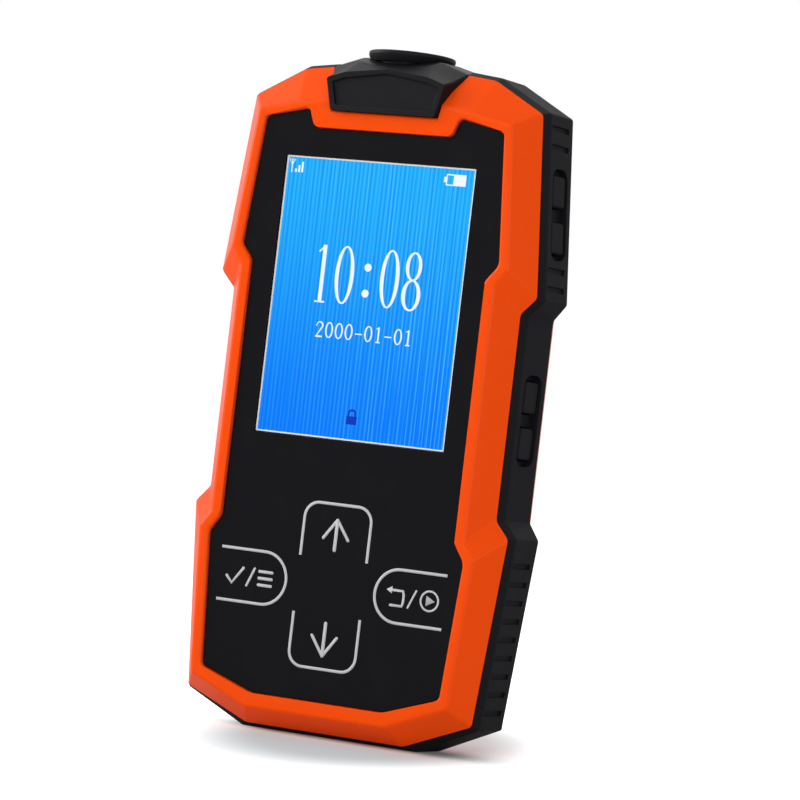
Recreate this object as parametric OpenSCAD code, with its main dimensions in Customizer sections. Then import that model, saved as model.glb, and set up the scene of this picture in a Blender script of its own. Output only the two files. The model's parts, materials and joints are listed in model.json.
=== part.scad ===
// Hand-held guard patrol wand: a rugged reader with a display, touch keys, four side keys and a torch.
// It stands on its flat foot, the display faces -Y, +X is the side with the keys and +Z is up.

/* [Case outline] */
// Length of the flat bottom edge
bottom_w = 37.2; // [32:0.2:40]
// Width across the two bottom corners
corner_w = 67; // [62:0.2:70]
// Height of the sloped bottom edges
bottom_slope_h = 6; // [4.6:0.2:7.6]
// Width across the lower grip
lower_grip_w = 73.6; // [70:0.2:78]
// Height of the widest point of the lower grip above the bottom edge
lower_grip_z = 44.4; // [42.4:0.2:46]
// Width across the waist
waist_w = 67.4; // [64:0.2:70]
// Height of the start of the waist above the bottom edge
waist_low_z = 47.8; // [46.8:0.2:50]
// Height of the end of the waist above the bottom edge
waist_high_z = 89.9; // [88.3:0.2:91.1]
// Width across the upper grip
upper_grip_w = 74; // [70:0.2:78]
// Height of the widest point of the upper grip above the bottom edge
upper_grip_z = 93.3; // [92.1:0.2:95.1]
// Width across the shoulders
shoulder_w = 67.2; // [64:0.2:70]
// Height of the shoulders above the bottom edge
shoulder_z = 130.5; // [129.1:0.2:131.9]
// Width of the brow at the top of the sloped shoulders
brow_w = 44.4; // [40:0.2:48]
// Height of the brow above the shoulders
brow_rise = 6.2; // [5.4:0.2:7]
// Height of the crown, the middle of the top edge, above the shoulders
crown_rise = 8.8; // [8.4:0.1:9.2]

/* [Case depth] */
// How much wider the flat bottom is on the bumper, at each side
foot_flare = 1.8; // [1:0.1:2.4]
// Depth from the front lip to the back face
case_d = 28; // [27.4:0.2:30]
// Depth of the front slope, where the bumper starts
slope_d = 5.4; // [5:0.1:6]
// Depth of the bumper's front chamfer
chamfer_d = 2; // [1.6:0.1:2.2]
// Depth of the bumper
bumper_d = 12.2; // [11.8:0.1:12.6]
// Depth of the joint between the two cases
joint_d = 8; // [7.9:0.1:8.2]
// Depth at which the rear slope turns into the back
rear_slope_d = 22; // [21:0.2:23]

/* [Walls] */
// Thickness of the bumper where it wraps the cases
bumper_t = 3; // [2.8:0.1:3.2]
// How far the bumper stands proud of the cases
bumper_proud = 0.9; // [0.7:0.1:1.1]
// How far the bumper's waist flares out towards the back
waist_flare = 0.7; // [0.4:0.1:0.9]
// Side wall of the cases
wall = 2; // [1.8:0.1:2.2]
// Wall behind the front panel
front_wall = 1.2; // [1:0.1:1.4]
// Back wall
back_wall = 2.4; // [2.2:0.1:2.8]
// Clearance between pieces that fit together
fit = 0.15; // [0.1:0.01:0.2]
// Clearance between pieces that move
play = 0.3; // [0.25:0.01:0.35]

/* [Front face] */
// How far the flat front face lies inside the side of the case
face_side = 4.1; // [3.8:0.1:4.4]
// How far the front face lies inside the grips
face_grip = 4.8; // [4.6:0.1:5.2]
// How far the front face lies above the bottom edge
face_low = 3.6; // [3.2:0.1:4]
// How much longer the waist is on the front face, at each end
face_spread = 5; // [4.4:0.1:5.4]
// How far the front face lies below the shoulders
face_top = 3.2; // [3:0.1:3.6]
// Width of the lip beside the front panel
lip_w = 2.1; // [1.9:0.1:2.3]
// Width of the lip below the front panel
lip_low = 2.9; // [2.6:0.1:3.2]
// Depth of the front panel below the lip
panel_sink = 0.8; // [0.6:0.1:1]
// Thickness of the front panel
panel_t = 1.2; // [1:0.1:1.4]
// Width of the notch at the top of the panel
notch_w = 32; // [30:0.2:33]
// Depth of the notch at the top of the panel
notch_h = 3.9; // [3.4:0.1:4.4]

/* [Display] */
// Width of the display with its bezel
display_w = 44.2; // [42:0.2:46]
// Height of the display with its bezel
display_h = 57.6; // [55:0.2:58.4]
// Distance from the notch of the panel down to the display
display_drop = 6.08; // [5.28:0.2:6.88]
// Width of the bezel's edge
bezel_w = 0.3; // [0.25:0.05:0.5]
// Depth of the display glass below the lip
glass_sink = 1.5; // [1.4:0.05:1.6]
// Thickness of the backlight tray
backlight_t = 2.4; // [2.2:0.1:2.6]
// How far the backlight tray reaches past the display on each side
backlight_rim = 1.6; // [1.2:0.1:1.7]

/* [Nose] */
// Width of the foot of the nose's front face
nose_foot_w = 24.2; // [23:0.1:26]
// How far the nose's foot lies below the crown
nose_drop = 11.45; // [11.2:0.05:11.7]
// Width of the nose's front face at its shoulders
nose_face_w = 27.6; // [27:0.1:28]
// Width of the nose where it meets the bumper
nose_root_w = 32.4; // [31.6:0.1:33]
// How far the nose stands proud of the lip
nose_proud = 1; // [0.8:0.1:1.2]
// Depth of the nose from the lip to its back
nose_d = 19.6; // [19.4:0.1:20.2]
// Wall of the nose
nose_wall = 1.6; // [1.4:0.1:1.8]
// Depth of the recess of the sensing face
recess_d = 0.5; // [0.3:0.1:0.7]
// Width of the rim round the sensing face
recess_rim = 1.2; // [1:0.1:1.4]

/* [Torch] */
// Radius of the torch bezel
bezel_r = 9.05; // [8.85:0.05:9.6]
// Thickness of the bezel's rim
bezel_t = 1.1; // [1:0.05:1.2]
// Radius of the torch lens
lens_r = 6; // [5.6:0.1:6.2]
// Thickness of the torch lens
lens_t = 1.4; // [1.3:0.1:1.5]
// Depth of the torch's axis behind the lip
torch_d = 9.55; // [9.4:0.05:9.7]
// How far the torch stands above the crown
torch_rise = 2; // [1.7:0.05:2.3]

/* [Side keys] */
// Height of the middle of the upper key pocket above the foot
upper_pocket_z = 111.9; // [111.2:0.1:112.2]
// Height of the middle of the lower key pocket above the foot
lower_pocket_z = 69.6; // [68.9:0.1:70.4]
// Length of a key pocket
pocket_l = 18.7; // [18.4:0.1:19.4]
// Width of a key pocket
pocket_w = 7; // [6.8:0.1:7.2]
// Depth of a key pocket
pocket_d = 1.5; // [1.3:0.1:1.7]
// Length of a side key
key_l = 6.4; // [6:0.1:6.6]
// Width of a side key
key_w = 5.9; // [5.6:0.1:6]
// Distance between the middles of two keys
key_pitch = 9.5; // [9.4:0.1:10]
// Travel of a side key
key_travel = 0.6; // [0.4:0.1:0.7]

/* [Grip grooves] */
// Height of a grip groove
groove_h = 1.15; // [0.9:0.05:1.4]
// Depth of a grip groove
groove_d = 0.5; // [0.3:0.05:0.7]
// Distance from one groove to the next on the lower grip
groove_pitch = 3.785; // [3.6:0.005:3.85]
// Distance from the upper pocket to the first groove below it
groove_below = 2.2; // [1.8:0.1:2.6]
// Distance from the upper pocket to the first groove above it
groove_above = 4.2; // [3.4:0.1:4.6]
// Number of grooves on the lower grip
groove_count = 9; // [5:1:9]
// Height of the lowest groove above the foot
groove_low_z = 9.8; // [9.2:0.05:10.4]

/* [Inside] */
// Thickness of the main board
board_t = 1.4; // [1.2:0.1:1.6]
// Depth of the front of the main board behind the lip
board_d = 6.4; // [6.2:0.1:6.5]
// Width of the battery
battery_w = 46; // [40:0.5:47]
// Height of the battery
battery_h = 68; // [60:0.5:70]
// Thickness of the battery
battery_t = 8.6; // [6:0.1:9]
// Radius of the speaker
speaker_r = 8; // [6:0.1:9]
// Radius of the case screws
screw_r = 1.2; // [1:0.05:1.3]
// Radius of the screw bosses
boss_r = 3.2; // [2.9:0.1:3.3]
// Radius of the lanyard hole
lanyard_r = 1.75; // [1.4:0.05:1.9]
// Width of the lanyard ear
ear_w = 4.4; // [3.6:0.1:5]
// Radius of the lanyard ear
ear_r = 3.7; // [3.6:0.05:3.8]

/* [Hidden] */
$fn = 48;

// Colours
orange = "#F04A0A";
black = "#232325";
grey = "#8A8C90";
green = "#1E5A34";
copper = "#B86A32";

// Places along the depth, measured from the front lip
function at_d(d) = d - case_d / 2;
base_z = bumper_proud;
brow_z = shoulder_z + brow_rise;
crown_z = shoulder_z + crown_rise;
bumper_end = slope_d + bumper_d;
panel_floor = panel_sink + panel_t;
inside_front = panel_floor + front_wall;
inside_back = case_d - back_wall;
board_back = board_d + board_t;
bumper_mid = (slope_d + chamfer_d + bumper_end) / 2;

// The outline's points run up the right side, and mirrored() closes them over the crown
function mirrored(half, crown) = concat(half, [[0, crown]],
  [for (i = [len(half) - 1:-1:0]) [-half[i][0], half[i][1]]]);
function unit(v) = v / norm(v);
function left_of(u) = [-u[1], u[0]];
function inset(p, d) = let (n = len(p)) [for (i = [0:n - 1])
  let (u = left_of(unit(p[i] - p[(i + n - 1) % n])), v = left_of(unit(p[(i + 1) % n] - p[i])))
  p[i] + (u + v) * d / (1 + u * v)];

// A ring of the case, each value being how far the ring lies inside the widest outline there
function ring(foot = 0, corner = 0, grip = 0, side = 0, low = 0, corner_up = 0, spread = 0, high = 0,
  brow = 0, brow_down = 0, crown = 0, waist = 0) = mirrored([
    [bottom_w / 2 - foot, base_z + low],
    [corner_w / 2 - corner, base_z + bottom_slope_h + corner_up],
    [lower_grip_w / 2 - grip, base_z + lower_grip_z - spread],
    [waist_w / 2 - side + waist, base_z + waist_low_z - spread],
    [waist_w / 2 - side + waist, base_z + waist_high_z + spread],
    [upper_grip_w / 2 - grip, base_z + upper_grip_z + spread],
    [shoulder_w / 2 - side, base_z + shoulder_z - high],
    [brow_w / 2 - brow, base_z + brow_z - brow_down]
  ], base_z + crown_z - crown);

// Rings of the front face
foot_in = 2.2;
corner_in = 3.4;
corner_rise = 3.1;
brow_in = 2.2;
brow_drop = 7.5;
crown_drop = 7.6;
outline = ring();
face_ring = ring(foot_in, corner_in, face_grip, face_side, face_low, corner_rise, face_spread, face_top,
  brow_in, brow_drop, crown_drop);

// The front panel's own ring, with a notch below the nose
panel_top_in = 1.3;
panel_brow_w = 35;
panel_brow_z = base_z + shoulder_z - face_top + panel_top_in * 0.6;
panel_half = [
  [bottom_w / 2 - foot_in - lip_w * 0.45, base_z + face_low + lip_low],
  [corner_w / 2 - corner_in - lip_w, base_z + bottom_slope_h + corner_rise + lip_w * 0.75],
  [lower_grip_w / 2 - face_grip - lip_w, base_z + lower_grip_z - face_spread - panel_top_in / 2],
  [waist_w / 2 - face_side - lip_w, base_z + waist_low_z - face_spread - lip_w / 3],
  [waist_w / 2 - face_side - lip_w, base_z + waist_high_z + face_spread + lip_w / 2],
  [upper_grip_w / 2 - face_grip - lip_w, base_z + upper_grip_z + face_spread + panel_top_in / 2],
  [shoulder_w / 2 - face_side - lip_w * 0.8, base_z + shoulder_z - face_top - panel_top_in],
  [panel_brow_w / 2, panel_brow_z],
  [notch_w / 2, panel_brow_z - notch_h]
];
panel_ring = concat(panel_half, [for (i = [len(panel_half) - 1:-1:0]) [-panel_half[i][0], panel_half[i][1]]]);

// Rings of the rear case
rear_in = 3.1;
rear_side = 2.2;
rear_waist = 1.8;
rear_low = 3.6;
rear_top = 2.6;
back_in = 2.9;
back_low = 3.8;
back_top = 3;
rear_ring = ring(foot_in, rear_in, rear_in, rear_side, rear_low, rear_low, 0, rear_top, brow_in, rear_top,
  rear_top, rear_waist);
back_ring = ring(foot_in * 2, rear_in + back_in, rear_in + back_in, rear_side + back_in, rear_low + back_low,
  rear_low + back_low, 0, rear_top + back_top, brow_in * 2, rear_top + back_top, rear_top + back_top,
  rear_waist);
bumper_ring = inset(ring(foot = -foot_flare), -bumper_proud);
bumper_back_ring = inset(ring(foot = -foot_flare, waist = waist_flare), -bumper_proud);
seat_ring = inset(outline, bumper_t);
hollow_ring = inset(outline, bumper_t + wall);

// Solid through mirrored rings that have the same number of points, front to back; both its ends are
// cut into level strips, and the two halves are split along mirrored lines
module loft(rings, depths) {
  n = len(rings[0]);
  top = (n - 1) / 2;
  last = len(rings) - 1;
  points = [for (k = [0:last]) for (p = rings[k]) [p[0], at_d(depths[k]), p[1]]];
  sides = [for (k = [0:last - 1]) for (i = [0:n - 1])
    let (a = k * n + i, b = k * n + (i + 1) % n, c = a + n, d = b + n)
    for (f = i < top ? [[a, b, c], [b, d, c]] : [[a, b, d], [a, d, c]]) f];
  end = [for (i = [0:top - 1]) for (f = i == top - 1 ? [[i, top, n - 1 - i]]
    : [[i, i + 1, n - 2 - i], [i, n - 2 - i, n - 1 - i]]) f];
  front = [for (f = end) [f[2], f[1], f[0]]];
  back = [for (f = end) [for (v = f) v + last * n]];
  polyhedron(points, concat(front, sides, back));
}

// Flat outline drawn in X and Z, made solid from depth d0 to depth d1
module slab(d0, d1) {
  translate([0, at_d(d1), 0]) rotate([90, 0, 0]) linear_extrude(d1 - d0) children();
}

module block(w, h, d0, d1, x = 0, z = 0) {
  translate([x - w / 2, at_d(d0), z - h / 2]) cube([w, d1 - d0, h]);
}

module rod(r, d0, d1, x = 0, z = 0) {
  translate([x, at_d(d1), z]) rotate([90, 0, 0]) cylinder(r = r, h = d1 - d0);
}

module rounded(w, h, r) {
  square([w - 2 * r, h], center = true);
  square([w, h - 2 * r], center = true);
  for (x = [-1, 1], y = [-1, 1]) translate([x * (w / 2 - r), y * (h / 2 - r)]) circle(r);
}

// Screw places: the case screws go through both cases, the board screws hold the main board
waist_inside = waist_w / 2 - bumper_t - wall;
shoulder_inside = shoulder_w / 2 - bumper_t - wall;
low_screw_in = 1.1;
low_screw_up = 12.3;
mid_screw_in = 1.35;
mid_screw_down = 4.7;
top_screw_in = 4.1;
top_screw_down = 6.2;
case_screws_at = [for (s = [-1, 1]) for (p = [
  [bottom_w / 2 - low_screw_in, base_z + low_screw_up],
  [waist_inside - mid_screw_in, base_z + lower_grip_z - mid_screw_down],
  [shoulder_inside - top_screw_in, base_z + shoulder_z - top_screw_down]]) [s * p[0], p[1]]];
board_post_r = 1.8;
board_screw_r = 0.9;
low_post_in = 4.6;
low_post_up = 5.9;
high_post_in = 2.4;
high_post_down = 0.8;
board_screws_at = [for (s = [-1, 1]) for (p = [
  [waist_inside - low_post_in, base_z + waist_low_z + low_post_up],
  [waist_inside - high_post_in, base_z + waist_high_z - high_post_down]]) [s * p[0], p[1]]];
pilot_d = 4.2;
head_d = 16;
head_r = screw_r * 1.85;
head_t = 1.6;
hex_r = 0.9;
hex_d = 1;

// Side frames: children are drawn with +X as the way out, at the bumper's face
grip_tilt = atan((upper_grip_w - shoulder_w) / 2 / (shoulder_z - upper_grip_z));
function upper_face_x(z) = upper_grip_w / 2 + bumper_proud / cos(grip_tilt)
  - (z - base_z - upper_grip_z) * tan(grip_tilt);
waist_face_x = waist_w / 2 + bumper_proud;
module on_upper_side() {
  translate([upper_face_x(upper_pocket_z), at_d(bumper_mid), upper_pocket_z])
    rotate([0, -grip_tilt, 0]) children();
}
module on_lower_side() {
  translate([waist_face_x, at_d(bumper_mid), lower_pocket_z]) children();
}
module on_left_side() {
  mirror([1, 0, 0]) on_lower_side() children();
}

// Shape drawn in Y and Z, made solid along X from x0 to x1
module side_slab(x0, x1) {
  translate([x0, 0, 0]) rotate([90, 0, 90]) linear_extrude(x1 - x0) children();
}

// Depths of the key parts below the bumper's face
past_face = 2;
flare_mid = waist_flare / 2;
pocket_r = 2.4;
key_face = -0.2;
inner_x = -(bumper_proud + bumper_t + wall);
flange_x = inner_x - fit;
flange_t = 0.8;
flange_over = 0.75;
stem_r = 0.9;
stem_l = 1.7;
switch_x = flange_x - flange_t - key_travel - play;
switch_t = 2;
switch_w = 4.4;
side_board_x = switch_x - switch_t;
side_board_t = 1;
side_board_end = bumper_end - 1;

module pocket_cut(out, depth) {
  side_slab(out - depth, out + past_face) rounded(pocket_w, pocket_l, pocket_r);
}

module key_pocket_cut(out = 0) {
  pocket_cut(out, pocket_d);
  for (s = [-1, 1]) translate([0, 0, s * key_pitch / 2])
    side_slab(inner_x - past_face, past_face) rounded(key_w + 2 * play, key_l + 2 * play, 0.8 + play);
}

module side_key(s, out = 0) {
  translate([0, 0, s * key_pitch / 2]) {
    side_slab(flange_x, out + key_face) rounded(key_w, key_l, 0.8);
    side_slab(flange_x - flange_t, flange_x)
      square([key_w + 2 * flange_over, key_pitch - 2 * fit - play], center = true);
    translate([flange_x - flange_t - stem_l, 0, 0]) rotate([0, 90, 0]) cylinder(r = stem_r, h = stem_l);
  }
}

module switch_board() {
  difference() {
    union() {
      translate([side_board_x - side_board_t, at_d(board_back) - at_d(bumper_mid), -pocket_l / 2])
        cube([side_board_t, side_board_end - board_back, pocket_l]);
      for (s = [-1, 1]) translate([side_board_x, -switch_w / 2, s * key_pitch / 2 - switch_w / 2])
        cube([switch_t, switch_w, switch_w]);
    }
    for (s = [-1, 1]) translate([side_board_x + play, 0, s * key_pitch / 2]) rotate([0, 90, 0])
      cylinder(r = stem_r + play, h = switch_t);
  }
}

// The nose: each section has a foot, a shoulder, a brow part of the way up its roof, and an apex
nose_z = base_z + crown_z - nose_drop;
top_z = base_z + crown_z + torch_rise;
nose_start = -nose_proud;
nose_rise = 2.5;
face_shoulder_h = 6.7;
face_apex_h = 9.35;
rise_shoulder_h = 7.85;
root_shoulder_h = 9.75;
top_shoulder_h = 10.25;
roof_z = top_z - bezel_t - 0.15;
roof_front_drop = 1.3;
roof_back_drop = 0.6;
rise_out = 0.6;
root_foot_out = 1.5;
nose_brow_in = 0.42;
nose_brow_up = 0.95;
face_brow_in = 0.3;
face_brow_up = 0.5;
function nose_section(foot, side, h, apex, in = nose_brow_in, up = nose_brow_up) = let (z = nose_z + h)
  mirrored([[foot, nose_z], [side, z], [side * (1 - in), z + (apex - z) * up]], apex);
function nose_rings(t) = [
  inset(nose_section(nose_foot_w / 2, nose_face_w / 2, face_shoulder_h, nose_z + face_apex_h,
    face_brow_in, face_brow_up), t),
  inset(nose_section(nose_foot_w / 2 + rise_out, nose_face_w / 2 + rise_out, rise_shoulder_h,
    roof_z - roof_front_drop), t),
  inset(nose_section(nose_foot_w / 2 + root_foot_out, nose_root_w / 2 - fit * 2, root_shoulder_h,
    roof_z - fit), t),
  inset(nose_section(nose_foot_w / 2 + root_foot_out, nose_root_w / 2, top_shoulder_h, roof_z), t),
  inset(nose_section(nose_foot_w / 2 + root_foot_out, nose_root_w / 2 - fit, root_shoulder_h,
    roof_z - roof_back_drop), t)];
nose_depths = [nose_start, nose_rise, slope_d, (slope_d + nose_d) / 2, nose_d];
module nose_solid() loft(nose_rings(0), nose_depths);

// Room for the nose, with nothing left above its roof
over_nose = 1.5;
module nose_cut() {
  nose_solid();
  translate([0, 0, over_nose]) nose_solid();
}
module nose_hollow() {
  t = nose_wall;
  rings = nose_rings(t);
  depths = [nose_start + t, nose_rise + t / 2, slope_d, (slope_d + nose_d) / 2, nose_d - t];
  loft(rings, depths);
  block(nose_foot_w - 2 * t, 3 * t, nose_start + t, nose_d - t, 0, nose_z + t / 2);
}

// Torch stack, from the bezel's rim down
rim_z = top_z - bezel_t;
cone_h = 1.1;
cone_in = 0.8;
collar_r = lens_r + 1.3;
collar_h = 2;
collar_z = rim_z - cone_h - collar_h;
lens_z = top_z - 0.2 - lens_t;
cup_flange_t = 0.8;
cup_flange_r = lens_r + 0.2;
cup_top_r = lens_r - 0.8;
cup_low_r = 2.2;
cup_h = 5.2;
cup_t = 0.7;
cup_z = collar_z - cup_h;
led_board_r = 5;
led_board_t = 1.2;
module on_torch_axis() {
  translate([0, at_d(torch_d), 0]) children();
}

// Coil and ferrite behind the sensing face
coil_w = 18;
coil_h = 3.8;
coil_t = 1.8;
coil_up = 3.9;
coil_z = nose_z + coil_up;
coil_front = nose_start + recess_d + nose_wall;
ferrite_t = 0.6;

// Rear pad, as proud of the back as the nose is of the lip, and the ear for a lanyard below it
pad_w = 38;
pad_h = 56;
pad_r = 4;
pad_up = 1.9;
pad_z = (base_z + crown_z) / 2 + pad_up;
speaker_below = 19;
speaker_z = pad_z - pad_h / 2 - speaker_below;
sound_hole_r = 0.8;
sound_ring_r = 4;
pad_sink = 0.5;
pad_proud = nose_proud;
ear_d = case_d + pad_proud - ear_r;
ear_z = ear_r + 0.1;

// Display places
display_z = panel_brow_z - notch_h - display_drop - display_h / 2;
window_w = display_w + 2 * fit;
window_h = display_h + 2 * fit;
glass_w = display_w - 2 * bezel_w;
glass_h = display_h - 2 * bezel_w;
tray_w = display_w + 2 * backlight_rim;
tray_h = display_h + 2 * backlight_rim;
tray_end = inside_front + backlight_t;

// Port cover on the left side
port_d = 2;
hinge_pin_r = 0.4;
barrel_r = 0.75;
hinge_x = -(waist_face_x - port_d + 1.5 * play + barrel_r);
hinge_up = pocket_r + fit;
hinge_z = lower_pocket_z - pocket_l / 2 + hinge_up;
cover_gap = 2;
cover_l = pocket_l - hinge_up - cover_gap;
cover_t = 1.3;
cover_w = pocket_w - 2 * play;
socket_l = 9;
socket_w = 3.3;
socket_d = 7.5;
socket_wall = 0.35;
tongue_t = 0.7;
tongue_w = 6.6;
tongue_sink = 0.8;

module front_case() {
  color(orange) difference() {
    union() {
      difference() {
        union() {
          loft([face_ring, outline], [0, slope_d]);
          slab(slope_d, joint_d) polygon(seat_ring);
        }
        slab(inside_front, joint_d + 1) polygon(hollow_ring);
      }
      for (p = case_screws_at) rod(boss_r, inside_front, joint_d, p[0], p[1]);
      for (p = board_screws_at) rod(board_post_r, inside_front, board_d, p[0], p[1]);
      block(nose_foot_w, wall, inside_front, joint_d, 0, nose_z - wall / 2);
    }
    slab(-1, panel_floor) polygon(panel_ring);
    block(window_w, window_h, 0, inside_front + 1, 0, display_z);
    for (p = case_screws_at) rod(screw_r + 0.05, pilot_d, joint_d + 1, p[0], p[1]);
    for (p = board_screws_at) rod(board_screw_r + 0.05, inside_front + 0.4, board_d + 1, p[0], p[1]);
    nose_cut();
    gasket_loop();
  }
}

module rear_case() {
  color(orange) difference() {
    union() {
      difference() {
        union() {
          slab(joint_d, bumper_end) polygon(seat_ring);
          loft([inset(bumper_back_ring, 0.4), rear_ring, back_ring], [bumper_end, rear_slope_d, case_d]);
        }
        slab(joint_d - 1, bumper_end) polygon(hollow_ring);
        slab(bumper_end - 1, inside_back) intersection() {
          polygon(hollow_ring);
          polygon(inset(back_ring, wall));
        }
      }
      for (p = case_screws_at) rod(boss_r, joint_d, inside_back, p[0], p[1]);
      block(nose_foot_w, wall, joint_d, inside_back, 0, nose_z - wall / 2);
      lanyard_ear();
    }
    for (p = case_screws_at) {
      rod(screw_r + fit, joint_d - 1, head_d + 1, p[0], p[1]);
      rod(head_r + fit, head_d, case_d + 1, p[0], p[1]);
    }
    on_upper_side() key_pocket_cut();
    on_lower_side() key_pocket_cut(flare_mid);
    on_left_side() socket_cut();
    for (a = [0:60:300])
      rod(sound_hole_r, inside_back - 1, case_d + 1, sound_ring_r * cos(a), speaker_z + sound_ring_r * sin(a));
    rod(sound_hole_r, inside_back - 1, case_d + 1, 0, speaker_z);
    slab(case_d - pad_sink, case_d + 1) translate([0, pad_z]) rounded(pad_w, pad_h, pad_r);
    nose_cut();
    gasket_loop();
    translate([-ear_w, at_d(ear_d), ear_z]) rotate([0, 90, 0]) cylinder(r = lanyard_r, h = 2 * ear_w);
  }
}

module lanyard_ear() {
  translate([-ear_w / 2, at_d(ear_d), ear_z]) rotate([0, 90, 0]) cylinder(r = ear_r, h = ear_w);
  translate([-ear_w / 2, at_d(ear_d) - ear_r, ear_z]) cube([ear_w, 2 * ear_r, 2 * ear_r]);
}

module side_bumper() {
  color(black) difference() {
    loft([outline, bumper_ring, bumper_back_ring], [slope_d, slope_d + chamfer_d, bumper_end]);
    slab(slope_d - 1, bumper_end + 1) polygon(seat_ring);
    on_upper_side() key_pocket_cut();
    on_lower_side() key_pocket_cut(flare_mid);
    on_left_side() {
      pocket_cut(flare_mid, port_d + flare_mid);
      socket_cut();
    }
    port_pin(hinge_pin_r + 0.03);
    for (s = [-1, 1]) grip_grooves(s);
    nose_cut();
  }
}

// Grooves lie square to the side, in two pairs beside the upper pocket and a row on the lower grip
groove_d0 = slope_d + chamfer_d + 0.7;
groove_d1 = bumper_end - 1.7;
lower_tilt = atan((lower_grip_w - corner_w) / 2 / (lower_grip_z - bottom_slope_h));
function lower_face_x(z) = corner_w / 2 + bumper_proud / cos(lower_tilt)
  + (z - base_z - bottom_slope_h) * tan(lower_tilt);
module grip_groove() {
  translate([-groove_d, at_d(groove_d0), -groove_h / 2])
    cube([groove_d + past_face, groove_d1 - groove_d0, groove_h]);
}
module grip_grooves(s) {
  mirror([s < 0 ? 1 : 0, 0, 0]) {
    translate([upper_face_x(upper_pocket_z), 0, upper_pocket_z]) rotate([0, -grip_tilt, 0]) {
      for (k = [0, 1]) {
        translate([0, 0, -pocket_l / 2 - groove_below - k * groove_pitch]) grip_groove();
        translate([0, 0, pocket_l / 2 + groove_above + k * groove_pitch]) grip_groove();
      }
    }
    for (k = [0:groove_count - 1]) let (z = groove_low_z + k * groove_pitch)
      translate([lower_face_x(z), 0, z]) rotate([0, lower_tilt, 0]) grip_groove();
  }
}

gasket_t = 0.8;
module gasket_loop() {
  slab(joint_d - gasket_t / 2, joint_d + gasket_t / 2) difference() {
    polygon(inset(outline, bumper_t + (wall - gasket_t) / 2));
    polygon(inset(outline, bumper_t + (wall + gasket_t) / 2));
  }
}
module case_gasket() {
  color(grey) difference() {
    gasket_loop();
    nose_cut();
  }
}

module nose_cap() {
  color(black) difference() {
    nose_solid();
    difference() {
      nose_hollow();
      block(nose_root_w, nose_root_w, nose_start, nose_start + recess_d + nose_wall, 0, nose_z);
    }
    slab(nose_start - 1, nose_start + recess_d) polygon(inset(nose_rings(0)[0], recess_rim));
    on_torch_axis() {
      translate([0, 0, rim_z - cone_h]) cylinder(r1 = bezel_r - cone_in + fit, r2 = bezel_r + fit, h = cone_h);
      translate([0, 0, rim_z]) cylinder(r = bezel_r + fit, h = past_face);
      translate([0, 0, collar_z - fit]) cylinder(r = collar_r + fit, h = collar_h + cone_h);
      translate([0, 0, collar_z - cup_flange_t - play]) cylinder(r = cup_flange_r + play, h = cup_flange_t + play);
    }
  }
}

module torch_bezel() {
  color(black) on_torch_axis() rotate_extrude($fn = 96) polygon([
    [cup_top_r, collar_z], [collar_r, collar_z], [collar_r, rim_z - cone_h], [bezel_r - cone_in, rim_z - cone_h],
    [bezel_r, rim_z], [bezel_r, top_z], [lens_r + fit, top_z], [lens_r + fit, lens_z], [cup_top_r, lens_z]]);
}

module torch_lens() {
  color("#DCE6EC") on_torch_axis() translate([0, 0, lens_z]) cylinder(r = lens_r, h = lens_t);
}

module torch_reflector() {
  color("silver") on_torch_axis() rotate_extrude($fn = 96) polygon([
    [cup_low_r, cup_z], [cup_low_r + cup_t, cup_z], [cup_top_r, collar_z - cup_flange_t],
    [cup_flange_r, collar_z - cup_flange_t], [cup_flange_r, collar_z], [cup_top_r - cup_t / 2, collar_z]]);
}

module torch_led() {
  color("#F2E36A") on_torch_axis() translate([0, 0, cup_z]) cylinder(r = cup_low_r - play, h = 1);
}

module torch_led_board() {
  color("white") on_torch_axis() translate([0, 0, cup_z - led_board_t])
    cylinder(r = led_board_r, h = led_board_t);
}

module reader_coil() {
  color(copper) slab(coil_front, coil_front + coil_t) translate([0, coil_z]) difference() {
    rounded(coil_w, coil_h, 1.6);
    rounded(coil_w - 2.4, coil_h - 2.4, 0.6);
  }
}

module reader_ferrite() {
  color("#3A3A3C") slab(coil_front + coil_t, coil_front + coil_t + ferrite_t) translate([0, coil_z])
    square([coil_w, coil_h], center = true);
}

module front_panel() {
  color("#1B1B1D") slab(panel_sink, panel_floor) difference() {
    polygon(inset(panel_ring, fit));
    translate([0, display_z]) square([window_w, window_h], center = true);
  }
}

module display_bezel() {
  color("#BFC3C8") slab(glass_sink - 0.2, inside_front) translate([0, display_z]) difference() {
    square([display_w, display_h], center = true);
    square([glass_w, glass_h], center = true);
  }
}

module display_glass() {
  color("#1E90FF") block(glass_w, glass_h, glass_sink, inside_front, 0, display_z);
}

module display_backlight() {
  color("#E8E8E8") block(tray_w, tray_h, inside_front, tray_end, 0, display_z);
}

// Flexible lead from the tray's lower edge to the main board
ribbon_w = 12;
ribbon_t = 0.3;
ribbon_tail = 5;
module display_ribbon() {
  low = display_z - tray_h / 2;
  color(copper) {
    block(ribbon_w, ribbon_t * 2, inside_front + ribbon_t, board_d, 0, low - ribbon_t);
    block(ribbon_w, ribbon_tail, board_d - ribbon_t, board_d, 0, low - ribbon_tail / 2);
  }
}

touch_w = 44;
touch_h = 31;
touch_t = 1;
touch_down = 26.8;
touch_z = display_z - tray_h / 2 - touch_down;
module touch_key_board() {
  color(green) block(touch_w, touch_h, inside_front, inside_front + touch_t, 0, touch_z);
}

board_low_z = base_z + bumper_t + wall + 3.1;
board_top_z = nose_z - wall - 1.15;
module main_board() {
  color(green) slab(board_d, board_back) difference() {
    intersection() {
      polygon(inset(hollow_ring, play * 2));
      translate([-lower_grip_w, board_low_z]) square([2 * lower_grip_w, board_top_z - board_low_z]);
    }
    for (p = case_screws_at) translate(p) circle(boss_r + play);
    for (p = board_screws_at) translate(p) circle(board_screw_r + fit);
  }
}

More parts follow.
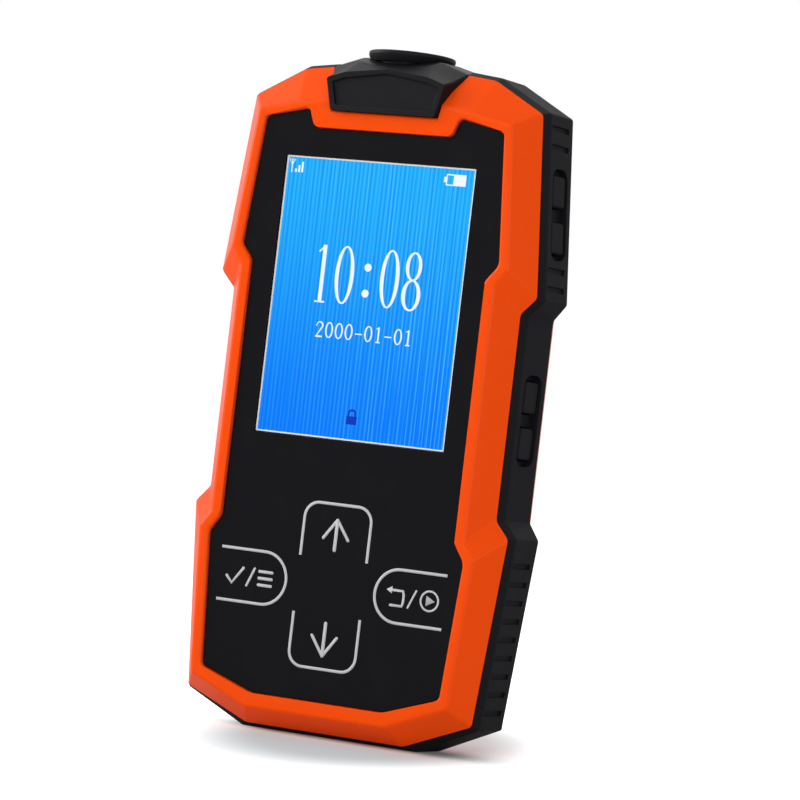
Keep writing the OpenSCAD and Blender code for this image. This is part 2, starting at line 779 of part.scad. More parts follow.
shield_w = 26;
shield_h = 22;
shield_t = 2.2;
shield_down = 18;
module processor_shield() {
  color("silver") block(shield_w, shield_h, board_back, board_back + shield_t, 0, display_z - shield_down);
}

radio_w = 20;
radio_h = 18;
radio_t = 2.4;
radio_x = 9;
card_w = 15;
card_h = 17;
card_t = 1.6;
card_wall = 0.4;
card_x = -12;
row_up = 3;
lower_row_z = speaker_z + row_up;
module radio_module() {
  color("silver") block(radio_w, radio_h, board_back, board_back + radio_t, radio_x, lower_row_z);
}

module card_holder() {
  color("silver") difference() {
    block(card_w, card_h, board_back, board_back + card_t, card_x, lower_row_z);
    block(card_w - 6 * card_wall, card_h + 2 * card_wall, board_back + card_wall,
      board_back + card_t - card_wall, card_x, lower_row_z + 2 * card_wall);
  }
}

clock_cell_r = 6.25;
clock_cell_t = 2;
clock_cell_x = -13;
clock_cell_up = 10;
clock_cell_z = display_z + clock_cell_up;
module clock_cell() {
  color("silver") rod(clock_cell_r, board_back, board_back + clock_cell_t, clock_cell_x, clock_cell_z);
}

battery_pad_t = 0.3;
battery_up = 3.5;
battery_z = pad_z + battery_up;
battery_pad_in = 4;
battery_corner_r = 2;
battery_end = inside_back - battery_pad_t;
module battery_pack() {
  color("#2E6FB7") slab(battery_end - battery_t, battery_end) translate([0, battery_z])
    rounded(battery_w, battery_h, battery_corner_r);
}

module battery_pad() {
  color(grey) block(battery_w - 2 * battery_pad_in, battery_h - 2 * battery_pad_in, battery_end,
    inside_back, 0, battery_z);
}

speaker_t = 3.4;
module speaker() {
  color("#303032") rod(speaker_r, inside_back - speaker_t, inside_back, 0, speaker_z);
}

antenna_w = 34;
antenna_h = 9;
antenna_t = 0.8;
antenna_down = 12.2;
module radio_antenna() {
  color(copper) block(antenna_w, antenna_h, inside_back - antenna_t, inside_back, 0, nose_z - antenna_down);
}

motor_r = 2.2;
motor_l = 8;
motor_x = 4;
motor_up = 13.8;
motor_z = display_z + motor_up;
motor_d = board_back + motor_r + 0.1;
shaft_r = 0.5;
weight_r = 2;
weight_l = 2.4;
module along_x(x) {
  translate([x, at_d(motor_d), motor_z]) rotate([0, 90, 0]) children();
}
module vibration_motor() {
  color("silver") {
    along_x(motor_x) cylinder(r = motor_r, h = motor_l);
    along_x(motor_x + motor_l) cylinder(r = shaft_r, h = weight_l + 2 * play);
  }
}
module vibration_weight() {
  color("#6E6A60") along_x(motor_x + motor_l + play) difference() {
    union() {
      difference() {
        cylinder(r = weight_r, h = weight_l);
        translate([0, -weight_r, -1]) cube([weight_r, 2 * weight_r, weight_l + 2]);
      }
      cylinder(r = 1, h = weight_l);
    }
    translate([0, 0, -1]) cylinder(r = shaft_r + 0.05, h = weight_l + 2);
  }
}

module upper_switch_board() color(green) on_upper_side() switch_board();
module lower_switch_board() color(green) on_lower_side() switch_board();
module side_key_1() color("#2A2A2C") on_upper_side() side_key(1);
module side_key_2() color("#2A2A2C") on_upper_side() side_key(-1);
module side_key_3() color("#2A2A2C") on_lower_side() side_key(1, flare_mid);
module side_key_4() color("#2A2A2C") on_lower_side() side_key(-1, flare_mid);

// The socket opens at the floor of the left pocket
module socket_cut() {
  side_slab(inner_x - past_face, past_face) rounded(socket_w + 2 * fit, socket_l + 2 * fit, socket_w / 2);
}
module charging_socket() {
  color("silver") on_left_side() difference() {
    side_slab(-port_d - socket_d, -port_d) rounded(socket_w, socket_l, socket_w / 2 - 0.05);
    side_slab(-port_d - socket_d + side_board_t, 1)
      rounded(socket_w - 2 * socket_wall, socket_l - 2 * socket_wall, socket_w / 2 - socket_wall - 0.05);
  }
  color(black) on_left_side() side_slab(-port_d - socket_d + side_board_t, -port_d - tongue_sink)
    square([tongue_t, tongue_w], center = true);
}
module charging_board() {
  color(green) on_left_side()
    translate([-port_d - socket_d - side_board_t, at_d(board_back) - at_d(bumper_mid), -pocket_l / 2])
      cube([side_board_t, side_board_end - board_back, pocket_l]);
}

pin_end = 1;
module hinge_rod(r, l) {
  translate([hinge_x, at_d(bumper_mid), hinge_z]) rotate([90, 0, 0]) cylinder(r = r, h = l, center = true);
}
module port_pin(r) hinge_rod(r, pocket_w + 2 * pin_end);
module port_cover_pin() color("silver") port_pin(hinge_pin_r);
module port_cover() {
  color(black) difference() {
    union() {
      translate([hinge_x - barrel_r, at_d(bumper_mid) - cover_w / 2, hinge_z])
        cube([cover_t, cover_w, cover_l]);
      hinge_rod(barrel_r, cover_w);
    }
    port_pin(hinge_pin_r + 0.06);
  }
}

module rear_pad() {
  color(black) slab(case_d - pad_sink, case_d + pad_proud) translate([0, pad_z])
    rounded(pad_w - 2 * fit, pad_h - 2 * fit, pad_r - fit);
}

module case_screws() {
  color(grey) for (p = case_screws_at) {
    rod(screw_r, pilot_d + 0.4, head_d, p[0], p[1]);
    difference() {
      rod(head_r, head_d, head_d + head_t, p[0], p[1]);
      translate([p[0], at_d(head_d + head_t + 0.1), p[1]]) rotate([90, 0, 0])
        cylinder(r = hex_r, h = hex_d, $fn = 6);
    }
  }
}

module board_screws() {
  color(grey) for (p = board_screws_at) {
    rod(board_screw_r, inside_front + 0.6, board_back, p[0], p[1]);
    rod(board_screw_r * 2, board_back, board_back + 1.1, p[0], p[1]);
  }
}

front_case();
rear_case();
side_bumper();
case_gasket();
nose_cap();
torch_bezel();
torch_lens();
torch_reflector();
torch_led();
torch_led_board();
reader_coil();
reader_ferrite();
front_panel();
display_bezel();
display_glass();
display_backlight();
display_ribbon();
touch_key_board();
main_board();
processor_shield();
radio_module();
card_holder();
clock_cell();
battery_pack();
battery_pad();
speaker();
radio_antenna();
vibration_motor();
vibration_weight();
upper_switch_board();
lower_switch_board();
side_key_1();
side_key_2();
side_key_3();
side_key_4();
charging_board();
charging_socket();
port_cover();
port_cover_pin();
rear_pad();
case_screws();
board_screws();
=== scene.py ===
# Looks of the hand-held patrol wand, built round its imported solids
import json
import math
import bpy
import bmesh
from mathutils import Matrix, Vector


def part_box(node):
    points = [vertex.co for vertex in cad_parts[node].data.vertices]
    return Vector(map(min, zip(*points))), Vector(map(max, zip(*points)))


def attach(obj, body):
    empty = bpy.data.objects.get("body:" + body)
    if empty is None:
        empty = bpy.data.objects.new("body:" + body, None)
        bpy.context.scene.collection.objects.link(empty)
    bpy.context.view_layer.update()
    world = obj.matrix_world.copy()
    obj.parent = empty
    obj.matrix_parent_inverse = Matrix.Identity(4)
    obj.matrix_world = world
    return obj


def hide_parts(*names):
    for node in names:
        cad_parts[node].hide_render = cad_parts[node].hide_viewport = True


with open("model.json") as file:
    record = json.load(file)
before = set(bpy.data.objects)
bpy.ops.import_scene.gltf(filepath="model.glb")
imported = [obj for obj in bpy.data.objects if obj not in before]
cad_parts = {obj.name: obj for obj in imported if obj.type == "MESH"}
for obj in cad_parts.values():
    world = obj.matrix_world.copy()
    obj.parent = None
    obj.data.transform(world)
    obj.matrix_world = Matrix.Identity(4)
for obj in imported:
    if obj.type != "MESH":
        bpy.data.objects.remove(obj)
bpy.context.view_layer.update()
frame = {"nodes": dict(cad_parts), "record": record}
mm = 0.001
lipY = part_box("front_case")[0].y  # the front lip lies here, and depths are counted back from it
print("frame loaded")


def place(x, depth, z):
    return Vector((x * mm, lipY + depth * mm, z * mm))


def inPart(point):
    # x, depth and z in mm
    return point.x / mm, (point.y - lipY) / mm, point.z / mm


def depthSpan(node):
    # how deep a node's box begins and ends
    return [inPart(corner)[1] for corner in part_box(node)]


def arcPoints(cx, cz, radius, first, last, count):
    # points of an arc between two angles in degrees
    angles = [math.radians(first + (last - first) * k / count) for k in range(count + 1)]
    return [(cx + radius * math.cos(angle), cz + radius * math.sin(angle)) for angle in angles]


# Node sums

class Wire:
    # a node's output that can stand in a sum, so that each sum adds its Math node
    def __init__(self, tree, socket=None):
        self.tree = tree
        self.socket = socket

    def node(self, kind, settings=None, out=0, **values):
        # i0, i1 and so on feed the new node's inputs by number, and other names feed them by name
        made = self.tree.nodes.new(kind)
        for name, value in (settings or {}).items():
            setattr(made, name, value)
        for name, value in values.items():
            key = int(name[1:]) if name[0] == "i" and name[1:].isdigit() else name.replace("_", " ")
            feed(self.tree, made.inputs[key], value)
        return Wire(self.tree, made.outputs[out])

    def maths(self, operation, *values):
        sockets = {f"i{k}": value for k, value in enumerate(values)}
        return self.node("ShaderNodeMath", {"operation": operation}, **sockets)

    def wave(self):
        # one full swing, -1 to 1, for each step of 1
        return self.maths("SINE", self * (2 * math.pi))

    def span(self, low, high, first=0.0, last=1.0):
        # a smooth step from first to last, as the value goes from low to high
        return self.node("ShaderNodeMapRange", {"interpolation_type": "SMOOTHSTEP"},
                         i0=self, i1=low, i2=high, i3=first, i4=last)

    def __add__(self, other):
        return self.maths("ADD", self, other)

    def __radd__(self, other):
        return self.maths("ADD", other, self)

    def __sub__(self, other):
        return self.maths("SUBTRACT", self, other)

    def __rsub__(self, other):
        return self.maths("SUBTRACT", other, self)

    def __mul__(self, other):
        return self.maths("MULTIPLY", self, other)

    def __rmul__(self, other):
        return self.maths("MULTIPLY", other, self)

    def __truediv__(self, other):
        return self.maths("DIVIDE", self, other)


def feed(tree, socket, value):
    if isinstance(value, Wire):
        tree.links.new(value.socket, socket)
    elif hasattr(socket.default_value, "__len__") and len(socket.default_value) == 4 and len(value) == 3:
        socket.default_value = (*value, 1)
    else:
        socket.default_value = value


class Finish:
    # one material: its Principled shader and the textures that feed it
    def __init__(self, name, **constants):
        self.material = bpy.data.materials.new(name)
        self.material.use_nodes = True
        tree = self.material.node_tree
        self.shader = tree.nodes["Principled BSDF"]
        self.start = Wire(tree)
        self.spot = self.start.node("ShaderNodeTexCoord", out=3)
        self.set(**constants)

    def set(self, **inputs):
        for key, value in inputs.items():
            feed(self.start.tree, self.shader.inputs[key.replace("_", " ")], value)

    def noise(self, size, detail=2.0, rough=0.5):
        # size is that of one speckle in mm
        return self.start.node("ShaderNodeTexNoise", Vector=self.spot,
                               Scale=1 / (size * mm), Detail=detail, Roughness=rough)

    def noiseAlong(self, at, scale, detail):
        # speckles along one line, so many in each metre
        return self.start.node("ShaderNodeTexNoise", {"noise_dimensions": "1D"}, W=at, Scale=scale,
                               Detail=detail)

    def mix(self, factor, first, second):
        return self.start.node("ShaderNodeMix", {"data_type": "RGBA"}, out=2, i0=factor, i6=first, i7=second)

    def bump(self, height, depth):
        # depth is in mm
        return self.start.node("ShaderNodeBump", Height=height, Distance=depth * mm, Strength=1.0)

    def axis(self, k):
        return self.start.node("ShaderNodeSeparateXYZ", out=k, Vector=self.spot)


def shade(red, green, blue):
    # a colour given as it looks on the screen, 0 to 255
    return tuple(v / 255 / 12.92 if v <= 10 else ((v / 255 + 0.055) / 1.055) ** 2.4
                 for v in (red, green, blue))


# Finishes

orangeLook = {"colour": shade(246, 76, 2), "cloudy": shade(246, 78, 2), "worn": shade(254, 99, 20),
              "cloudShare": 0.35, "wornShare": 0.35, "grain": 0.22, "grainDepth": 0.006, "rough": 0.27}


def orangePlastic():
    look = orangeLook
    f = Finish("orangePlastic", Specular_IOR_Level=0.09)
    cloud = f.noise(9, detail=3)
    rub = f.noise(2.6, detail=5, rough=0.7).span(0.62, 0.8)
    clean = f.mix(cloud * look["cloudShare"], look["colour"], look["cloudy"])
    f.set(Base_Color=f.mix(rub * look["wornShare"], clean, look["worn"]),
          Roughness=look["rough"] + 0.08 * cloud - 0.05 * rub,
          Normal=f.bump(f.noise(look["grain"], detail=3, rough=0.6), look["grainDepth"]))
    return f.material


rubberLook = {"colour": shade(22, 21, 24), "dusty": shade(44, 43, 46), "dustShare": 0.5, "grain": 0.16,
              "grainDepth": 0.02, "rough": 0.62}


def blackRubber():
    look = rubberLook
    f = Finish("blackRubber", Specular_IOR_Level=0.08)
    cloud = f.noise(7, detail=4, rough=0.6)
    dust = f.noise(1.1, detail=6, rough=0.75).span(0.58, 0.82)
    f.set(Base_Color=f.mix(dust * look["dustShare"] * cloud, look["colour"], look["dusty"]),
          Roughness=look["rough"] + 0.12 * cloud,
          Normal=f.bump(f.noise(look["grain"], detail=3, rough=0.65), look["grainDepth"]))
    return f.material


capLook = {"colour": shade(15, 15, 18), "worn": shade(38, 38, 42), "wornShare": 0.4, "grain": 0.2,
           "grainDepth": 0.016, "rough": 0.44}


def blackPlastic():
    look = capLook
    f = Finish("blackPlastic", Specular_IOR_Level=0.12)
    rub = f.noise(1.8, detail=5, rough=0.7).span(0.62, 0.82)
    f.set(Base_Color=f.mix(rub * look["wornShare"], look["colour"], look["worn"]),
          Roughness=look["rough"] + 0.12 * f.noise(6, detail=3),
          Normal=f.bump(f.noise(look["grain"], detail=3, rough=0.6), look["grainDepth"]))
    return f.material


panelLook = {"colour": shade(14, 13, 16), "speck": shade(48, 48, 52), "speckShare": 0.3, "wave": 3.5,
             "waveDepth": 0.012, "rough": 0.3}


def panelPlastic():
    look = panelLook
    f = Finish("panelPlastic", Specular_IOR_Level=0.08)
    smudge = f.noise(8, detail=5, rough=0.65).span(0.45, 0.75)
    speck = f.noise(0.5).span(0.72, 0.8)
    f.set(Base_Color=f.mix(speck * look["speckShare"], look["colour"], look["speck"]),
          Roughness=look["rough"] + 0.14 * smudge,
          Normal=f.bump(f.noise(look["wave"], rough=0.4), look["waveDepth"]))
    return f.material


printLook = {"colour": shade(196, 197, 198), "dull": shade(168, 169, 171), "dullShare": 0.5}


def printInk():
    look = printLook
    f = Finish("printInk", Roughness=0.5, Specular_IOR_Level=0.3)
    mottle = f.noise(0.3, detail=3, rough=0.6)
    f.set(Base_Color=f.mix(mottle * look["dullShare"], look["colour"], look["dull"]))
    return f.material


# The display is lit in fine upright stripes over a ground that is lighter at the top
displayLook = {"top": shade(30, 178, 252), "low": shade(0, 126, 252), "dark": shade(0, 104, 236),
               "light": shade(80, 198, 255), "darkShare": 0.5, "lightShare": 0.62, "stripes": 46,
               "wobbleScale": 900, "wobbleShare": 0.6, "fineScale": 2600, "fineLean": 0.02, "beamLean": 0.25}


def litDisplay():
    look = displayLook
    low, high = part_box("display_bezel")
    f = Finish("litDisplay", Base_Color=(0.002, 0.004, 0.01), Roughness=0.16, Emission_Strength=1.0,
               Specular_IOR_Level=0.06)
    x, z = f.axis(0), f.axis(2)
    pitch = (high.x - low.x) / look["stripes"]
    wobble = f.noiseAlong(x, look["wobbleScale"], detail=2)
    fine = f.noiseAlong(x + look["fineLean"] * z, look["fineScale"], detail=1)
    ridge = (x / pitch + wobble * look["wobbleShare"]).wave() * 0.75 + (fine - 0.5) * 1.5
    beam = (x + look["beamLean"] * z).span(-6 * mm, 40 * mm, 0.25, 1.0)
    ground = f.mix(z.span(low.z, high.z), look["low"], look["top"])
    darker = f.mix(ridge.span(0.1, 0.9) * look["darkShare"], ground, look["dark"])
    lit = (ridge * -1).span(0.3, 1.0) * beam * look["lightShare"]
    f.set(Emission_Color=f.mix(lit, darker, look["light"]))
    return f.material


def glowingSign(name, ground, glow, dimGlow, gloss):
    f = Finish(name, Base_Color=ground, Emission_Strength=1.0, Roughness=0.6, Specular_IOR_Level=gloss)
    f.set(Emission_Color=f.mix(f.noise(0.35) * 0.4, glow, dimGlow))
    return f.material


def clearLens():
    f = Finish("clearLens", Base_Color=(0.93, 0.96, 0.97), Transmission_Weight=0.92, IOR=1.49)
    f.set(Roughness=0.03 + 0.06 * f.noise(2, detail=4, rough=0.6).span(0.5, 0.8))
    return f.material


def brightPlate():
    f = Finish("brightPlate", Metallic=1.0)
    f.set(Base_Color=f.mix(f.noise(3, detail=3), shade(226, 226, 228), shade(206, 208, 212)),
          Roughness=0.12 + 0.12 * f.noise(1.2, detail=4, rough=0.6))
    return f.material


def platedSteel():
    f = Finish("platedSteel", Metallic=1.0)
    scratch = f.noise(0.25, detail=4, rough=0.7)
    f.set(Base_Color=f.mix(f.noise(1.5, detail=3), shade(150, 151, 154), shade(118, 120, 124)),
          Roughness=0.26 + 0.2 * scratch,
          Normal=f.bump(scratch, depth=0.01))
    return f.material


boardLook = {"weave": 0.5, "weaveDepth": 0.006, "field": 3.2, "first": shade(22, 82, 44),
             "second": shade(26, 92, 50), "track": shade(44, 124, 74)}


def circuitBoard():
    look = boardLook
    f = Finish("circuitBoard", Coat_Weight=0.5, Coat_Roughness=0.15)
    weave = (f.axis(0) / (look["weave"] * mm)).wave()
    cross = (f.axis(2) / (look["weave"] * mm)).wave()
    tracks = f.start.node("ShaderNodeTexBrick", Vector=f.spot, Scale=1 / (look["field"] * mm),
                          Mortar_Size=0.06, Color1=look["first"], Color2=look["second"], Mortar=look["track"])
    f.set(Base_Color=tracks,
          Roughness=0.4 + 0.05 * weave * cross,
          Normal=f.bump(weave + cross, look["weaveDepth"]))
    return f.material


wireLook = {"turn": 0.32, "turnDepth": 0.04}


def copperWire():
    look = wireLook
    f = Finish("copperWire", Metallic=0.9)
    turns = (f.axis(2) / (look["turn"] * mm)).wave()
    f.set(Base_Color=f.mix(f.noise(1.5, detail=3), shade(196, 112, 62), shade(168, 84, 40)),
          Roughness=0.28 + 0.1 * f.noise(0.8, detail=3),
          Normal=f.bump(turns, look["turnDepth"]))
    return f.material


def ferriteSheet():
    f = Finish("ferriteSheet")
    f.set(Base_Color=f.mix(f.noise(0.4, detail=4, rough=0.7), shade(58, 58, 61), shade(40, 40, 43)),
          Roughness=0.7 + 0.15 * f.noise(2, detail=3),
          Normal=f.bump(f.noise(0.2, detail=3), depth=0.01))
    return f.material


def whitePlastic():
    f = Finish("whitePlastic")
    f.set(Base_Color=f.mix(f.noise(4, detail=3), shade(226, 226, 222), shade(212, 212, 206)),
          Roughness=0.4 + 0.1 * f.noise(3, detail=3),
          Normal=f.bump(f.noise(0.3), depth=0.008))
    return f.material


# the bezel's own pale colour, lightened further as painted light that it gets from the display
def paintedLightBezel():
    f = Finish("paintedLightBezel")
    f.set(Base_Color=f.mix(f.noise(1.2, detail=3), shade(246, 246, 240), shade(232, 234, 230)),
          Roughness=0.3 + 0.1 * f.noise(2, detail=3))
    return f.material


def cellWrap():
    f = Finish("cellWrap", Coat_Weight=0.4, Coat_Roughness=0.2)
    f.set(Base_Color=f.mix(f.noise(8, detail=3), shade(62, 112, 180), shade(48, 92, 160)),
          Roughness=0.32 + 0.1 * f.noise(4, detail=4),
          Normal=f.bump(f.noise(5, detail=4, rough=0.6), depth=0.12))
    return f.material


def greyRubber():
    f = Finish("greyRubber", Specular_IOR_Level=0.3)
    f.set(Base_Color=f.mix(f.noise(2, detail=4), shade(124, 125, 128), shade(108, 109, 113)),
          Roughness=0.65 + 0.1 * f.noise(3, detail=3),
          Normal=f.bump(f.noise(0.2, detail=3), depth=0.012))
    return f.material


finishes = {
    "orange_case": orangePlastic(), "black_rubber": blackRubber(), "black_plastic": blackPlastic(),
    "panel_plastic": panelPlastic(), "display_surface": litDisplay(), "clear_lens": clearLens(),
    "bright_plate": brightPlate(), "steel": platedSteel(), "circuit_board": circuitBoard(),
    "copper_wire": copperWire(), "ferrite_sheet": ferriteSheet(), "white_plastic": whitePlastic(),
    "cell_wrap": cellWrap(), "grey_rubber": greyRubber(),
}
ink = printInk()
signWhite = glowingSign("whiteSign", (0.01, 0.01, 0.01), shade(245, 250, 255), shade(214, 232, 252), 0.1)
signDark = glowingSign("darkSign", (0.0, 0.002, 0.02), shade(16, 52, 178), shade(28, 78, 200), 0.02)
nodeSlots = {part["node"]: part["material_slot"] for part in frame["record"]["subparts"]}
for name, node in frame["nodes"].items():
    finish = finishes[nodeSlots[name]]
    if not node.data.materials:
        node.data.materials.append(finish)
    for slot in node.material_slots:
        slot.material = finish
frame["nodes"]["display_bezel"].material_slots[0].material = paintedLightBezel()
print("finishes made")


# Meshes

slack = 0.05  # mm, within which an end lies at a depth
flatAngle = math.radians(0.4)
leastBend = 12  # degrees, below which two faces belong to one smooth face
ridgeBend = 8  # degrees, below which a ridge between slopes isn't rounded


def addPiece(name, mesh, finish):
    piece = bpy.data.objects.new(name, mesh)
    bpy.context.scene.collection.objects.link(piece)
    mesh.materials.clear()
    mesh.materials.append(finish)
    return piece


def evaluatedMesh(piece):
    # the mesh with its modifiers run, or that of a curve
    return bpy.data.meshes.new_from_object(piece.evaluated_get(bpy.context.evaluated_depsgraph_get()))


def cadCopy(node):
    # the node's own solid, its loose triangles joined into flat faces
    bm = bmesh.new()
    bm.from_mesh(frame["nodes"][node].data)
    bmesh.ops.remove_doubles(bm, verts=bm.verts, dist=0.003 * mm)
    for faces in flatGroups(bm):
        cutThroughHoles(bm, faces)
    bmesh.ops.dissolve_limit(bm, angle_limit=flatAngle, verts=bm.verts, edges=bm.edges, delimit={"SEAM"})
    return bm


def joined(start, steps):
    # all that can be reached from the first ones, in groups
    left = set(start)
    groups = []
    while left:
        group, frontier = set(), [left.pop()]
        while frontier:
            item = frontier.pop()
            group.add(item)
            for other in steps(item):
                if other in left:
                    left.remove(other)
                    frontier.append(other)
        groups.append(group)
    return groups


def flatGroups(bm):
    def flatNeighbours(face):
        return [other for edge in face.edges if edge.calc_face_angle(9) < flatAngle
                for other in edge.link_faces if other != face]

    return [group for group in joined(bm.faces, flatNeighbours) if len(group) > 2]


def cutThroughHoles(bm, faces):
    # a flat face with holes is cut level with each hole's middle, so that no long edge reaches its corners
    rim = {edge for face in faces for edge in face.edges if sum(f in faces for f in edge.link_faces) == 1}
    loops = joined(rim, lambda edge: [other for vert in edge.verts for other in vert.link_edges])
    if len(loops) < 2:
        return
    axis = 2 if abs(next(iter(faces)).normal.z) < 0.9 else 0
    spans = []
    for loop in loops:
        reach = [vert.co[axis] for edge in loop for vert in edge.verts]
        spans.append((max(reach) - min(reach), (max(reach) + min(reach)) / 2))
    spans.remove(max(spans))
    edges = {edge for face in faces for edge in face.edges}
    verts = {vert for face in faces for vert in face.verts}
    geometry = [*faces, *edges, *verts]
    for height in sorted({round(middle / mm) for _, middle in spans}):
        normal = Vector((0, 0, 0))
        normal[axis] = 1
        made = bmesh.ops.bisect_plane(bm, geom=geometry, plane_co=normal * height * mm, plane_no=normal)
        geometry = made["geom"]
        for item in made["geom_cut"]:
            if isinstance(item, bmesh.types.BMEdge):
                item.seam = True


def ends(edge):
    return [inPart(vert.co) for vert in edge.verts]


def edgeBend(edge):
    return math.degrees(edge.calc_face_angle(0))


def level(a, b, depth):
    return abs(a[1] - depth) < slack and abs(b[1] - depth) < slack


def across(a, b, first, last):
    return abs(min(a[1], b[1]) - first) < slack and abs(max(a[1], b[1]) - last) < slack


def onSlope(edge):
    # true beside a face that leans back, which no wall of a hole does
    return any(0.15 < abs(face.normal.y) < 0.97 for face in edge.link_faces)


def soften(bm, width, segments, pick, least=leastBend):
    # rounds the picked edges, each given by its two ends in mm
    edges = [edge for edge in bm.edges
             if len(edge.link_faces) == 2 and edgeBend(edge) > least and pick(*ends(edge), edge)]
    bmesh.ops.bevel(bm, geom=edges, offset=width * mm, offset_type="OFFSET", segments=segments,
                    profile=0.5, affect="EDGES", clamp_overlap=False)


def unfold(bm, first, last):
    # drops the diagonals of the sloped faces between two depths, which leaves the ridges
    spans = [edge for edge in bm.edges if across(*ends(edge), first, last)]

    def longest(edge):
        rivals = [[other for other in spans if vert in other.verts] for vert in edge.verts]
        return all(edge.calc_length() > min(other.calc_length() for other in row) * 1.02 for row in rivals)

    bmesh.ops.dissolve_edges(bm, edges=[edge for edge in spans if longest(edge)], use_verts=False)


def finished(bm, name, node, body, least=35):
    # the mesh as a piece that stands for its node, smooth but for its sharp edges
    for face in bm.faces:
        face.smooth = True
    for edge in bm.edges:
        edge.smooth = len(edge.link_faces) == 2 and edgeBend(edge) < least
    bmesh.ops.triangulate(bm, faces=[face for face in bm.faces if len(face.verts) > 4])
    bmesh.ops.dissolve_degenerate(bm, dist=0.0005 * mm, edges=bm.edges)
    mesh = bpy.data.meshes.new(name)
    bm.to_mesh(mesh)
    bm.free()
    piece = addPiece(name, mesh, finishes[nodeSlots[node]])
    flatten = piece.modifiers.new("flatten", "WEIGHTED_NORMAL")  # large flat faces keep their own shading
    flatten.keep_sharp = True
    flatten.weight = 100
    piece.data = evaluatedMesh(piece)
    piece.modifiers.remove(flatten)
    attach(piece, body)
    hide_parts(node)
    return piece


# Most of the pocket's edge lies inside the inner bounds, and the lip's outer edge outside them
frontLook = {"lip": 0.0, "slopeEnd": 5.4, "pocketFloor": 2.0, "lipRound": 0.58, "pocketRound": 0.2,
             "cornerRound": 1.0, "innerSide": 27.7, "innerLow": 6.4, "innerHigh": 128.2}


def frontShell():
    look = frontLook
    bm = cadCopy("front_case")
    unfold(bm, look["lip"], look["slopeEnd"])

    def inner(a, b):
        return all(abs(end[0]) < look["innerSide"] and look["innerLow"] < end[2] < look["innerHigh"]
                   for end in (a, b))

    soften(bm, look["cornerRound"], 4, lambda a, b, edge: across(a, b, look["lip"], look["pocketFloor"]))
    soften(bm, look["lipRound"], 4,
           lambda a, b, edge: (level(a, b, look["lip"]) and not inner(a, b))
           or across(a, b, look["lip"], look["slopeEnd"]), ridgeBend)
    soften(bm, look["pocketRound"], 2, lambda a, b, edge: level(a, b, look["lip"]) and inner(a, b))
    return finished(bm, "frontShell", "front_case", "case")


rearLook = {"seam": 17.6, "slopeEnd": 22.0, "back": 28.0, "slopeRound": 0.6, "backRound": 0.22}


def rearShell():
    look = rearLook
    bm = cadCopy("rear_case")
    seam, middle, back = look["seam"], look["slopeEnd"], look["back"]
    unfold(bm, seam, middle)
    unfold(bm, middle, back)
    soften(bm, look["slopeRound"], 3,
           lambda a, b, edge: onSlope(edge)
           and (across(a, b, seam, middle) or across(a, b, middle, back) or level(a, b, middle)), ridgeBend)
    soften(bm, look["backRound"], 3, lambda a, b, edge: onSlope(edge) and level(a, b, back), ridgeBend)
    return finished(bm, "rearShell", "rear_case", "case")


bumperLook = {"edge": 7.4, "cornerRound": 0.35}


def gripBumper():
    look = bumperLook
    bm = cadCopy("side_bumper")
    front, back = depthSpan("side_bumper")
    unfold(bm, front, look["edge"])
    unfold(bm, look["edge"], back)
    soften(bm, look["cornerRound"], 3,
           lambda a, b, edge: across(a, b, front, look["edge"]) or across(a, b, look["edge"], back)
           or level(a, b, look["edge"]), ridgeBend)
    return finished(bm, "gripBumper", "side_bumper", "case")


# The nose is lofted between these depths, and its recess is bounded by the sides and a roofed top
noseLook = {"depths": (-1.0, 2.5, 5.4, 12.5, 19.6), "facetRound": 0.45, "rimRound": 0.15, "rimBend": 30,
            "shortEdge": 2.4, "side": 13.2, "low": 129.3, "high": 137.5, "fall": 0.147}


def noseShell():
    look = noseLook
    depths = look["depths"]
    bm = cadCopy("nose_cap")
    for first, last in zip(depths, depths[1:]):
        unfold(bm, first, last)

    def onRings(a, b):
        return all(min(abs(end[1] - depth) for depth in depths) < slack for end in (a, b))

    def inRecess(end):
        roof = look["high"] - look["fall"] * abs(end[0])
        return abs(end[0]) < look["side"] and look["low"] < end[2] < roof

    soften(bm, look["rimRound"], 2,
           lambda a, b, edge: level(a, b, depths[0]) and inRecess(a) and inRecess(b), look["rimBend"])
    soften(bm, look["facetRound"], 3,
           lambda a, b, edge: onRings(a, b) and math.dist(a, b) > look["shortEdge"]
           and not level(a, b, depths[0]), ridgeBend)
    return finished(bm, "noseShell", "nose_cap", "case")


keyLook = {"topRound": 0.45, "topDepth": 0.62, "bend": 40}


def sideKeys():
    look = keyLook
    for k in (1, 2, 3, 4):
        node = f"side_key_{k}"
        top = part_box(node)[1].x / mm - look["topDepth"]
        bm = cadCopy(node)
        soften(bm, look["topRound"], 4, lambda a, b, edge: min(a[0], b[0]) > top, look["bend"])
        finished(bm, f"sideKey{k}", node, f"key_{k}")


def ringOf(bm, depth):
    # the outer edge of a flat face at one depth, in order, as x and z in mm
    edges = [edge for edge in bm.edges if level(*ends(edge), depth) and edgeBend(edge) > leastBend]
    far = max(edges, key=lambda edge: abs(edge.verts[0].co.x) + abs(edge.verts[1].co.x))
    ring = [far.verts[0], far.verts[1]]
    while True:
        after = [e.other_vert(ring[-1]) for e in ring[-1].link_edges if e in edges]
        after = [v for v in after if v != ring[-2]]
        if not after or after[0] == ring[0]:
            return [inPart(v.co)[::2] for v in ring]
        ring.append(after[0])


